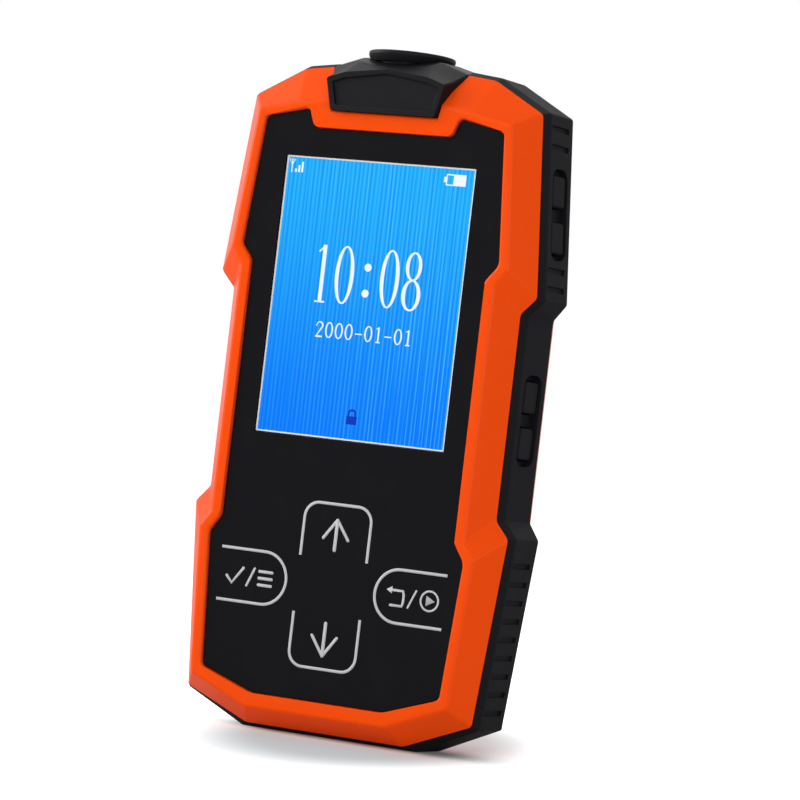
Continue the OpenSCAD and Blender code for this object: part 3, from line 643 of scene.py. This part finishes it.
def roundedRing(points, radius, count=5, share=0.45, straight=176):
    # each corner of the outline becomes an arc, which takes up at most this share of its sides
    made = []
    for k, corner in enumerate(points):
        before, after = Vector(points[k - 1]), Vector(points[(k + 1) % len(points)])
        corner = Vector(corner)
        into, out = (before - corner), (after - corner)
        half = into.angle(out) / 2
        wish = min(radius / math.tan(half), into.length * share, out.length * share)
        if half > math.radians(straight / 2):
            made.append(tuple(corner))
            continue
        first, last = corner + into.normalized() * wish, corner + out.normalized() * wish
        middle = corner + (into.normalized() + out.normalized()).normalized() * (wish / math.cos(half))
        reach = (first - middle).length
        for step in range(count + 1):
            along = (first - middle).slerp(last - middle, step / count)
            made.append(tuple(middle + along.normalized() * reach))
    return made


def plate(rings, front, back, edge):
    # a flat sheet between two depths with softly rounded edges; the first ring is its outline
    curve = bpy.data.curves.new("plate", "CURVE")
    curve.dimensions = "2D"
    curve.fill_mode = "BOTH"
    curve.extrude = ((back - front) / 2 - edge) * mm
    curve.bevel_depth = edge * mm
    curve.bevel_resolution = 2
    curve.offset = -edge * mm
    for ring in rings:
        spline = curve.splines.new("POLY")
        spline.points.add(len(ring) - 1)
        for point, (x, z) in zip(spline.points, ring):
            point.co = (x * mm, z * mm, 0, 1)
        spline.use_cyclic_u = True
    drawn = bpy.data.objects.new("plate", curve)
    bpy.context.scene.collection.objects.link(drawn)
    mesh = evaluatedMesh(drawn)
    bpy.data.objects.remove(drawn)
    middle = Matrix.Translation((0, lipY + (front + back) / 2 * mm, 0))
    mesh.transform(middle @ Matrix.Rotation(math.pi / 2, 4, "X"))
    bm = bmesh.new()
    bm.from_mesh(mesh)
    bmesh.ops.remove_doubles(bm, verts=bm.verts, dist=0.001 * mm)
    bmesh.ops.recalc_face_normals(bm, faces=bm.faces)
    return bm


filmLook = {"corner": 1.0, "edge": 0.12, "gap": 0.15}


def faceFilm():
    look = filmLook
    front, back = depthSpan("front_panel")
    bm = cadCopy("front_panel")
    rim = roundedRing(ringOf(bm, front), look["corner"])
    bm.free()
    low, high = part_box("display_bezel")
    left, right = low.x / mm - look["gap"], high.x / mm + look["gap"]
    foot, top = low.z / mm - look["gap"], high.z / mm + look["gap"]
    window = [(left, foot), (left, top), (right, top), (right, foot)]
    film = plate([rim, window], front, back, look["edge"])
    return finished(film, "faceFilm", "front_panel", "case")


gripLook = {"round": 0.3, "bend": 40}


def rearGrip():
    look = gripLook
    back = depthSpan("rear_pad")[1]
    bm = cadCopy("rear_pad")
    soften(bm, look["round"], 3, lambda a, b, edge: level(a, b, back), look["bend"])
    return finished(bm, "rearGrip", "rear_pad", "case")


lidLook = {"round": 0.3, "bend": 60}


def portLid():
    look = lidLook
    bm = cadCopy("port_cover")
    soften(bm, look["round"], 3, lambda a, b, edge: True, look["bend"])
    return finished(bm, "portLid", "port_cover", "cover")


def turned(name, profile, depth, node, segments=96):
    # a closed profile of radius and height turned about an upright axis at a depth
    bm = bmesh.new()
    rings = []
    for k in range(segments):
        angle = 2 * math.pi * k / segments
        ring = []
        for radius, height in profile:
            at = place(radius * math.cos(angle), depth, height)
            at.y += radius * mm * math.sin(angle)
            ring.append(bm.verts.new(at))
        rings.append(ring)
    count = len(profile)
    for k in range(segments):
        one, two = rings[k], rings[(k + 1) % segments]
        for j in range(count):
            bm.faces.new((one[j], two[j], two[(j + 1) % count], one[(j + 1) % count]))
    bmesh.ops.recalc_face_normals(bm, faces=bm.faces)
    return finished(bm, name, node, "case", least=40)


# The torch ring's radii, and how far below its top each height lies: a rim over a cone that rests on the nose
torchLook = {"rim": 1.1, "roll": 0.4, "cone": 2.2, "coneRadius": 8.3, "coneSwell": 0.5, "swellRise": 0.725,
             "lensRadius": 6.15, "lensSeat": 1.6, "lip": 0.3, "inner": 5.2, "collar": 7.3, "foot": 4.2}


def torchRing():
    look = torchLook
    node = "torch_bezel"
    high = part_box(node)[1]
    radius, top = high.x / mm, high.z / mm
    rim, cone, foot, seat = (top - look[key] for key in ("rim", "cone", "foot", "lensSeat"))
    roll, lip, lens = look["roll"], look["lip"], look["lensRadius"]
    profile = [(look["inner"], foot), (look["collar"], foot), (look["collar"], cone)]
    profile.append((look["coneRadius"], cone))
    profile.append((look["coneRadius"] + look["coneSwell"], cone + look["swellRise"]))
    profile += arcPoints(radius - roll, rim + roll, roll, -30, 0, 4)
    profile += arcPoints(radius - roll, top - roll, roll, 0, 90, 5)
    profile += arcPoints(lens + lip, top - lip, lip, 90, 180, 4)
    profile += [(lens, seat), (look["inner"], seat)]
    return turned("torchRing", profile, sum(depthSpan(node)) / 2, node)


for make in (frontShell, rearShell, gripBumper, noseShell, sideKeys, faceFilm, rearGrip, portLid, torchRing):
    make()
print("shells made")


# Strokes: each is drawn flat, as points with the pen's width, and a tree makes it a thin raised line

class Strokes:
    def __init__(self):
        self.points = []
        self.lines = []
        self.pens = []
        self.bends = []

    def line(self, points, pen=0.6, bend=0.0, closed=False):
        start = len(self.points)
        count = len(points)
        for point in points:
            self.points.append((point[0] * mm, point[1] * mm, 0))
            self.pens.append((point[2] if len(point) > 2 else pen) * mm)
            self.bends.append(bend * mm)
        self.lines += [(start + k, start + k + 1) for k in range(count - 1)]
        if closed:
            self.lines.append((start + count - 1, start))

    def rounded(self, points, pen=0.6, bend=0.0):
        # an open line with round ends
        self.line(roundEnd(points[1], points[0], pen)[::-1] + points[1:-1]
                  + roundEnd(points[-2], points[-1], pen), pen, bend)

    def oval(self, cx, cz, rx, rz, thick, thin=None, count=28):
        # thick at its sides and thin at its top and foot
        thin = thick if thin is None else thin
        turns = [2 * math.pi * k / count for k in range(count)]
        self.line([(cx + rx * math.cos(turn), cz + rz * math.sin(turn),
                    thin + (thick - thin) * abs(math.cos(turn)) ** 1.4) for turn in turns], closed=True)

    def mesh(self, name):
        mesh = bpy.data.meshes.new(name)
        mesh.from_pydata(self.points, self.lines, [])
        for label, values in (("pen", self.pens), ("bend", self.bends)):
            mesh.attributes.new(label, "FLOAT", "POINT").data.foreach_set("value", values)
        return mesh


def roundEnd(before, end, pen):
    # the last points of a line, narrowing in a half circle
    run = math.dist(before[:2], end[:2])
    along = ((end[0] - before[0]) / run, (end[1] - before[1]) / run)
    points = [(end[0], end[1], pen)]
    for step in (0.35, 0.6, 0.8, 0.93, 0.995):
        points.append((end[0] + along[0] * step * pen / 2, end[1] + along[1] * step * pen / 2,
                       pen * math.sqrt(1 - step * step)))
    return points


def newTree(name, inputs):
    # an empty tree with named inputs; end() closes it with the instances made real and the finish set
    tree = bpy.data.node_groups.new(name, "GeometryNodeTree")
    for label, kind in {"Geometry": "Geometry", **inputs, "Finish": "Material"}.items():
        tree.interface.new_socket(label, in_out="INPUT", socket_type="NodeSocket" + kind)
    tree.interface.new_socket("Geometry", in_out="OUTPUT", socket_type="NodeSocketGeometry")
    entry = tree.nodes.new("NodeGroupInput")
    ins = {socket.name: Wire(tree, socket) for socket in entry.outputs if socket.name}

    def end(shape):
        real = shape.node("GeometryNodeRealizeInstances", Geometry=shape)
        inked = real.node("GeometryNodeSetMaterial", Geometry=real, Material=ins["Finish"])
        tree.links.new(inked.socket, tree.nodes.new("NodeGroupOutput").inputs["Geometry"])
        return tree

    return Wire(tree), ins, end


def strokeTree():
    # the relief is a share of the pen's width
    start, ins, end = newTree("strokeTree", {"Relief": "Float", "Height": "Float"})
    pen = start.node("GeometryNodeInputNamedAttribute", {"data_type": "FLOAT"}, Name="pen")
    bend = start.node("GeometryNodeInputNamedAttribute", {"data_type": "FLOAT"}, Name="bend")
    curve = start.node("GeometryNodeMeshToCurve", Mesh=ins["Geometry"])
    curve = start.node("GeometryNodeFilletCurve", {"mode": "POLY"}, Curve=curve, Count=8, Radius=bend,
                       Limit_Radius=True)
    curve = start.node("GeometryNodeSetCurveNormal", {"mode": "Z_UP"}, Curve=curve)
    section = start.node("GeometryNodeCurvePrimitiveQuadrilateral", {"mode": "RECTANGLE"}, Width=1.0,
                         Height=ins["Relief"])
    line = start.node("GeometryNodeCurveToMesh", Curve=curve, Profile_Curve=section, Scale=pen,
                      Fill_Caps=True)
    return end(start.node("GeometryNodeTransform", Geometry=line, Rotation=(math.pi / 2, 0, 0),
                          Translation=start.node("ShaderNodeCombineXYZ", Y=ins["Height"])))


def raised(shape, height):
    lift = shape.node("ShaderNodeCombineXYZ", Z=height)
    return shape.node("GeometryNodeTransform", Geometry=shape, Translation=lift)


def combined(operation, first, second):
    # the exact solver leaves closed meshes; a difference takes the second from the first
    made = first.node("GeometryNodeMeshBoolean", {"operation": operation, "solver": "EXACT"}, Mesh_2=second)
    feed(first.tree, made.socket.node.inputs["Mesh 1" if operation == "DIFFERENCE" else "Mesh 2"], first)
    return made


def screwTree():
    # a cap head with a chamfered rim and a hex socket on a shank, set at each point with its head to the back
    start, ins, end = newTree("screwTree", {"Head": "Float", "Thick": "Float", "Socket": "Float",
                                            "Shank": "Float", "Length": "Float"})
    thick = ins["Thick"]
    head = start.node("GeometryNodeMeshCylinder", Vertices=48, Radius=ins["Head"], Depth=thick)
    rim = start.node("GeometryNodeMeshCone", Vertices=48, Radius_Top=ins["Head"] * 0.86,
                     Radius_Bottom=ins["Head"] * 1.7, Depth=thick)
    shank = start.node("GeometryNodeMeshCylinder", Vertices=32, Radius=ins["Shank"], Depth=ins["Length"])
    socket = start.node("GeometryNodeMeshCylinder", Vertices=6, Radius=ins["Socket"], Depth=thick)
    screw = combined("INTERSECT", head, raised(rim, thick * -0.5))
    screw = combined("UNION", screw, raised(shank, ins["Length"] * -0.5))
    screw = combined("DIFFERENCE", screw, raised(socket, thick * 0.4))
    return end(start.node("GeometryNodeInstanceOnPoints", Points=ins["Geometry"], Instance=screw,
                          Rotation=(-math.pi / 2, 0, 0)))


def ribTree():
    # a straight rib with round ends and an oval section, repeated upwards
    start, ins, end = newTree("ribTree", {"Count": "Int", "Pitch": "Float", "Length": "Float",
                                          "Width": "Float", "Relief": "Float"})
    left, right = (start.node("ShaderNodeCombineXYZ", X=ins["Length"] * share) for share in (-0.5, 0.5))
    line = start.node("GeometryNodeCurvePrimitiveLine", Start=left, End=right)
    line = start.node("GeometryNodeResampleCurve", Curve=line, Count=120)
    along = start.node("GeometryNodeSplineParameter")
    radius = ins["Width"] * 0.5
    fromEnd = along.maths("MINIMUM", along, 1 - along) * ins["Length"] / radius
    short = 1 - fromEnd.maths("MINIMUM", fromEnd, 1)
    pen = short.maths("SQRT", 1 - short * short)
    section = start.node("GeometryNodeCurvePrimitiveCircle", Resolution=24, Radius=radius)
    rib = start.node("GeometryNodeCurveToMesh", Curve=line, Profile_Curve=section, Scale=pen, Fill_Caps=True)
    flat = start.node("ShaderNodeCombineXYZ", X=1, Y=ins["Relief"] / radius, Z=1)
    rib = start.node("GeometryNodeTransform", Geometry=rib, Scale=flat)
    places = start.node("GeometryNodeMeshLine", Count=ins["Count"],
                        Offset=start.node("ShaderNodeCombineXYZ", Z=ins["Pitch"]))
    rows = start.node("GeometryNodeInstanceOnPoints", Points=places, Instance=rib)
    return end(start.node("GeometryNodeInstanceOnPoints", Points=ins["Geometry"], Instance=rows))


def pointMesh(name, points):
    mesh = bpy.data.meshes.new(name)
    mesh.from_pydata([place(*point) for point in points], [], [])
    return mesh


def grown(name, mesh, tree, values, slot, finish=None):
    # runs a tree on a mesh and keeps the result as a plain piece of the case
    finish = finish or finishes[slot]
    values = {**values, "Finish": finish}
    piece = addPiece(name, mesh, finish)
    grow = piece.modifiers.new("grow", "NODES")
    grow.node_group = tree
    for item in tree.interface.items_tree:
        if item.item_type == "SOCKET" and item.in_out == "INPUT" and item.name in values:
            grow[item.identifier] = values[item.name]
    plain = evaluatedMesh(piece)
    piece.modifiers.remove(grow)
    piece.data = plain
    bm = bmesh.new()
    bm.from_mesh(plain)
    bmesh.ops.remove_doubles(bm, verts=bm.verts, dist=0.0001 * mm)
    bmesh.ops.recalc_face_normals(bm, faces=bm.faces)
    bm.to_mesh(plain)
    bm.free()
    plain.materials.clear()
    plain.materials.append(finish)
    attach(piece, "case")
    return piece


def inMetres(look, *keys):
    # the named sizes of a piece, as values for its tree
    return {key.capitalize(): look[key] * mm for key in keys}


# Six case screws lie deep in their wells, at these places from the middle, all in mm
screwLook = {"places": ((17.5, 13.2), (27.35, 40.6), (24.5, 125.2)), "seat": 16.0, "head": 2.22, "thick": 1.6,
             "socket": 1.05, "shank": 1.2, "length": 11.2}


def caseScrews():
    look = screwLook
    points = [(side * x, look["seat"] + look["thick"] / 2, z) for side in (-1, 1) for x, z in look["places"]]
    values = inMetres(look, "head", "thick", "socket", "shank", "length")
    piece = grown("caseScrews", pointMesh("caseScrews", points), screwTree(), values, "steel")
    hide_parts("case_screws")


# Ribs on the rear pad, from the lowest one up
ribLook = {"count": 9, "pitch": 5.4, "length": 30.0, "width": 2.4, "relief": 0.42}


def padRibs():
    look = ribLook
    low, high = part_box("rear_pad")
    foot = (low.z + high.z) / 2 / mm - look["pitch"] * (look["count"] - 1) / 2
    values = {**inMetres(look, "pitch", "length", "width", "relief"), "Count": look["count"]}
    return grown("padRibs", pointMesh("padRibs", [(0, depthSpan("rear_pad")[1], foot)]), ribTree(), values,
                 "black_rubber")


def addSigns(name, drawn, relief, depth, slot, finish):
    values = {"Relief": relief, "Height": lipY + depth * mm}
    return grown(name, drawn.mesh(name), signTree, values, slot, finish)


# The key signs are lines round the middle of the four keys, and the arrows are given by foot, tip and barb
keySigns = {"pen": 0.6, "bend": 3.2, "legX": 7.8, "upFoot": 37.0, "upTop": 48.2, "downFoot": 25.4,
            "downTop": 14.3, "sideEnd": 26.5, "sideX": 15.9, "sideZ": 31.2, "sideR": 5.45,
            "arrows": ((38.8, 44.8, 41.1), (23.7, 17.2, 21.0)), "arrowPen": 0.75, "barbX": 2.9,
            "barbPen": 0.64, "barbEnd": 0.2, "point": 0.03, "relief": 0.08, "depth": 0.79}


def keyFrames(s, look):
    # open frames over and under the middle, and round-ended ones at its sides
    pen, legX = look["pen"], look["legX"]
    for foot, top in ((look["upFoot"], look["upTop"]), (look["downFoot"], look["downTop"])):
        s.line([(-legX, foot), (-legX, top), (legX, top), (legX, foot)], pen, look["bend"])
    radius = look["sideR"]
    high, low = look["sideZ"] + radius, look["sideZ"] - radius
    curve = arcPoints(-look["sideX"], look["sideZ"], radius, 90, -90, 24)
    for side in (-1, 1):
        s.line([(side * x, z) for x, z in [(-look["sideEnd"], high), *curve, (-look["sideEnd"], low)]], pen)


def keyArrows(s, look):
    for foot, tip, barb in look["arrows"]:
        s.rounded([(0, foot), (0, tip)], look["arrowPen"])
        barbTip = tip + math.copysign(look["barbEnd"], tip - foot)
        for side in (-1, 1):
            s.rounded([(side * look["barbX"], barb), (0, barbTip)], look["barbPen"])


def leftKeySign(s):
    tick = [(-24.6, 30.8), (-23.3, 29.4), (-20.8, 32.7)]
    slash = [(-19.7, 29.2), (-18.1, 32.9)]
    s.rounded(tick, 0.62)
    s.rounded(slash, 0.5)
    for bar in (29.65, 31.05, 32.45):
        s.rounded([(-16.9, bar), (-13.9, bar)], 0.62)


def rightKeySign(s, point):
    # a line that turns back to an arrowhead, a slash, and a triangle in a ring
    back = [(13.9, 32.4), (16.9, 32.4), (17.15, 31.6), (17.15, 30.1), (16.9, 29.3), (14.3, 29.3)]
    slash = [(18.3, 29.2), (19.9, 32.8)]
    s.rounded(back, 0.55)
    s.line([(13.1, 32.4, point), (14.4, 32.4, 1.5)])
    s.rounded(slash, 0.42)
    s.oval(23.1, 31.1, 2.0, 2.0, 0.42)
    s.line([(22.35, 31.1, 2.1), (24.3, 31.1, point)])


def keyPrints():
    look = keySigns
    s = Strokes()
    keyFrames(s, look)
    keyArrows(s, look)
    leftKeySign(s)
    rightKeySign(s, look["point"])
    return addSigns("keyPrints", s, look["relief"], look["depth"], "panel_plastic", ink)


def numeral(s, sign, x, z, width, height, thick, thin):
    # one thin upright figure with its lower left corner at x, z, and its points as shares of its size
    def at(points):
        return [(x + p[0] * width, z + p[1] * height, p[2] * thick if len(p) > 2 else thin) for p in points]

    middle = x + width / 2
    if sign == "0":
        s.oval(middle, z + height / 2, width * 0.36, height * 0.48, thick, thin)
    elif sign == "8":
        s.oval(middle, z + height * 0.745, width * 0.3, height * 0.23, thick * 0.9, thin)
        s.oval(middle, z + height * 0.26, width * 0.36, height * 0.25, thick, thin)
    elif sign == "1":
        s.line(at([(0.52, 0.01, 1), (0.52, 0.98, 1)]))
        s.line(at([(0.28, 0.015), (0.76, 0.015)]))
        s.line(at([(0.54, 0.97), (0.26, 0.86)]))
    elif sign == "2":
        turns = [math.radians(angle) for angle in range(-10, 200, 15)]
        bow = [(0.5 - 0.34 * math.cos(turn), 0.74 + 0.235 * math.sin(turn),
                0.5 + 0.5 * max(0, math.sin(turn - math.pi / 3))) for turn in turns]
        s.line(at(bow + [(0.6, 0.45, 0.8), (0.2, 0.06, 0.5)]))
        s.line(at([(0.14, 0.04, 1), (0.86, 0.04, 1)]))
    elif sign == "-":
        s.line(at([(0.12, 0.42), (0.88, 0.42)]))
    elif sign == ":":
        for up in (0.22, 0.66):
            s.oval(middle, z + height * up, thick * 0.45, thick * 0.45, thick)


# Each row of figures starts at x and z, with a step from one figure to the next
screenRows = (
    {"text": "10:08", "x": -13.3, "z": 89.1, "step": 5.3, "width": 4.9, "height": 12.2, "thick": 0.86,
     "thin": 0.34},
    {"text": "2000-01-01", "x": -11.0, "z": 82.0, "step": 2.31, "width": 2.1, "height": 3.2, "thick": 0.34,
     "thin": 0.24},
)
screenLook = {"relief": 0.06, "lockRelief": 0.02, "depth": 1.49}


def signalSign(s):
    # a small mast and three bars
    s.line([(-20.9, 118.1), (-20.9, 115.5)], 0.24)
    s.line([(-21.6, 118.2), (-20.9, 117.1), (-20.2, 118.2)], 0.2, closed=True)
    for k in range(3):
        step = 0.75 * k
        s.line([(-19.9 + step, 115.6), (-19.9 + step, 116.3 + step)], 0.42)


def batterySign(s):
    left, right, low, high = 15.5, 19.8, 115.4, 117.5
    middle = (low + high) / 2
    s.line([(left, low), (left, high), (right, high), (right, low)], 0.34, closed=True)
    s.line([(17.1, middle), (right, middle)], 2.1)
    s.line([(14.9, middle), (left, middle)], 1.1)


def screenSigns():
    look = screenLook
    s = Strokes()
    for row in screenRows:
        for k, sign in enumerate(row["text"]):
            numeral(s, sign, row["x"] + k * row["step"], row["z"], row["width"], row["height"], row["thick"],
                    row["thin"])
    signalSign(s)
    batterySign(s)
    return addSigns("screenSigns", s, look["relief"], look["depth"], "display_surface", signWhite)


def lockSign():
    look = screenLook
    s = Strokes()
    s.line([(-1.2, 65.6), (1.2, 65.6)], 1.7)
    s.line([(-0.75, 66.4), (-0.75, 67.7), (0.75, 67.7), (0.75, 66.4)], 0.42, 0.7)
    return addSigns("lockSign", s, look["lockRelief"], look["depth"], "display_surface", signDark)


signTree = strokeTree()
for make in (keyPrints, screenSigns, lockSign, caseScrews, padRibs):
    make()
print("signs, screws and ribs made")


# Stage, lights and camera

# The floor glows for the camera only, and least in a patch round the foot: this dim patch is a painted
# shadow, and the cast shadow falls over it (metres)
stageLook = {"half": 6.0, "middle": 0.006, "across": 0.037, "ahead": 0.052, "slant": 0.21, "paintedShadowFull": 0.6,
             "paintedShadowEnd": 1.25, "paintedShadowGlow": 0.04, "farGlow": 0.86, "skyLight": 0.5,
             "paint": (0.62, 0.64, 0.645)}


def stage():
    look = stageLook
    half = look["half"]
    corners = [(-half, -half, 0), (half, -half, 0), (half, half, 0), (-half, half, 0)]
    floor = bpy.data.meshes.new("floor")
    floor.from_pydata(corners, [], [(0, 1, 2, 3)])
    white = bpy.data.materials.new("paleFloor")
    white.use_nodes = True
    board = addPiece("floor", floor, white)
    tree = white.node_tree
    tree.nodes.clear()
    start = Wire(tree)
    paint = start.node("ShaderNodeBsdfDiffuse", Color=look["paint"])
    seen = start.node("ShaderNodeLightPath", out=0)
    spot = start.node("ShaderNodeTexCoord", out=3)
    x, y = (start.node("ShaderNodeSeparateXYZ", out=k, Vector=spot) for k in (0, 1))
    # the camera's glow is dimmed in an oval round the foot, turned with the view, as a painted shadow
    turn = math.radians(viewLook["round"])
    sideways = (x * math.cos(turn) + y * math.sin(turn) - look["middle"]) / look["across"]
    ahead = (x - y * look["slant"]) / look["ahead"]
    paintedShadowDistance = start.maths("SQRT", sideways * sideways + ahead * ahead)
    glow = paintedShadowDistance.span(look["paintedShadowFull"], look["paintedShadowEnd"], look["paintedShadowGlow"], look["farGlow"])
    light = start.node("ShaderNodeEmission", Color=(1, 1, 1), Strength=seen * glow)
    both = start.node("ShaderNodeAddShader", i0=paint, i1=light)
    end = tree.nodes.new("ShaderNodeOutputMaterial")
    tree.links.new(both.socket, end.inputs["Surface"])


def sky():
    # white where it is seen, mirrored or seen through, and dimmer as a light
    look = stageLook
    world = bpy.data.worlds.new("sky")
    bpy.context.scene.world = world
    world.use_nodes = True
    tree = world.node_tree
    tree.nodes.clear()
    start = Wire(tree)
    seen, glossy, through = (start.node("ShaderNodeLightPath", out=k) for k in (0, 3, 6))
    direct = seen.maths("MAXIMUM", seen, glossy.maths("MAXIMUM", glossy, through))
    share = look["skyLight"] + direct * (1 - look["skyLight"])
    back = start.node("ShaderNodeBackground", Color=(1, 1, 1), Strength=share)
    end = tree.nodes.new("ShaderNodeOutputWorld")
    tree.links.new(back.socket, end.inputs["Surface"])


# Places and sizes in metres; all the lamps aim at one point in the wand
lampAim = Vector((0, 0, 0.07))
lampLook = {
    "keyLamp": {"at": (-0.5, -0.8, 0.85), "size": 0.8, "watts": 2.6},
    "lowLamp": {"at": (0.2, -0.9, 0.03), "size": 0.5, "watts": 2.0},
    "leftLamp": {"at": (-0.95, -0.25, 0.45), "size": 0.6, "watts": 7.0},
    "backLamp": {"at": (-0.25, 0.5, 0.95), "size": 0.7, "watts": 3.0},
    "sideLamp": {"at": (0.85, -0.75, 0.05), "size": 0.6, "watts": 3.9},
}


def lamps():
    for name, look in lampLook.items():
        light = bpy.data.lights.new(name, "AREA")
        light.shape = "SQUARE"
        light.size = look["size"]
        light.energy = look["watts"]
        lamp = bpy.data.objects.new(name, light)
        bpy.context.scene.collection.objects.link(lamp)
        lamp.location = look["at"]
        lamp.rotation_mode = "QUATERNION"
        lamp.rotation_quaternion = (lampAim - lamp.location).to_track_quat("-Z", "Y")


# Angles in degrees, lengths in mm, and the focal length in pixels of a picture this many pixels wide
viewLook = {"target": (11.49, -14.0, 70.86), "round": 28.0, "rise": -0.75, "lean": 6.69,
            "distance": 780.75, "focal": 3840.85, "pixels": 800, "sensor": 36}


def camera():
    look = viewLook
    turn, rise, lean = (math.radians(look[k]) for k in ("round", "rise", "lean"))
    back = Vector((math.sin(turn) * math.cos(rise), -math.cos(turn) * math.cos(rise), math.sin(rise)))
    right = Vector((math.cos(turn), math.sin(turn), 0))
    up = back.cross(right)
    side = right * math.cos(lean) + up * math.sin(lean)
    top = up * math.cos(lean) - right * math.sin(lean)
    eye = bpy.data.cameras.new("camera")
    eye.sensor_width = look["sensor"]
    eye.lens = look["focal"] * look["sensor"] / look["pixels"]
    held = bpy.data.objects.new("camera", eye)
    bpy.context.scene.collection.objects.link(held)
    stand = Matrix.Translation((Vector(look["target"]) + back * look["distance"]) * mm)
    held.matrix_world = stand @ Matrix((side, top, back)).transposed().to_4x4()
    bpy.context.scene.camera = held


stage()
sky()
lamps()
camera()
bpy.context.scene.view_settings.view_transform = "Standard"
print("stage, lamps and camera set")
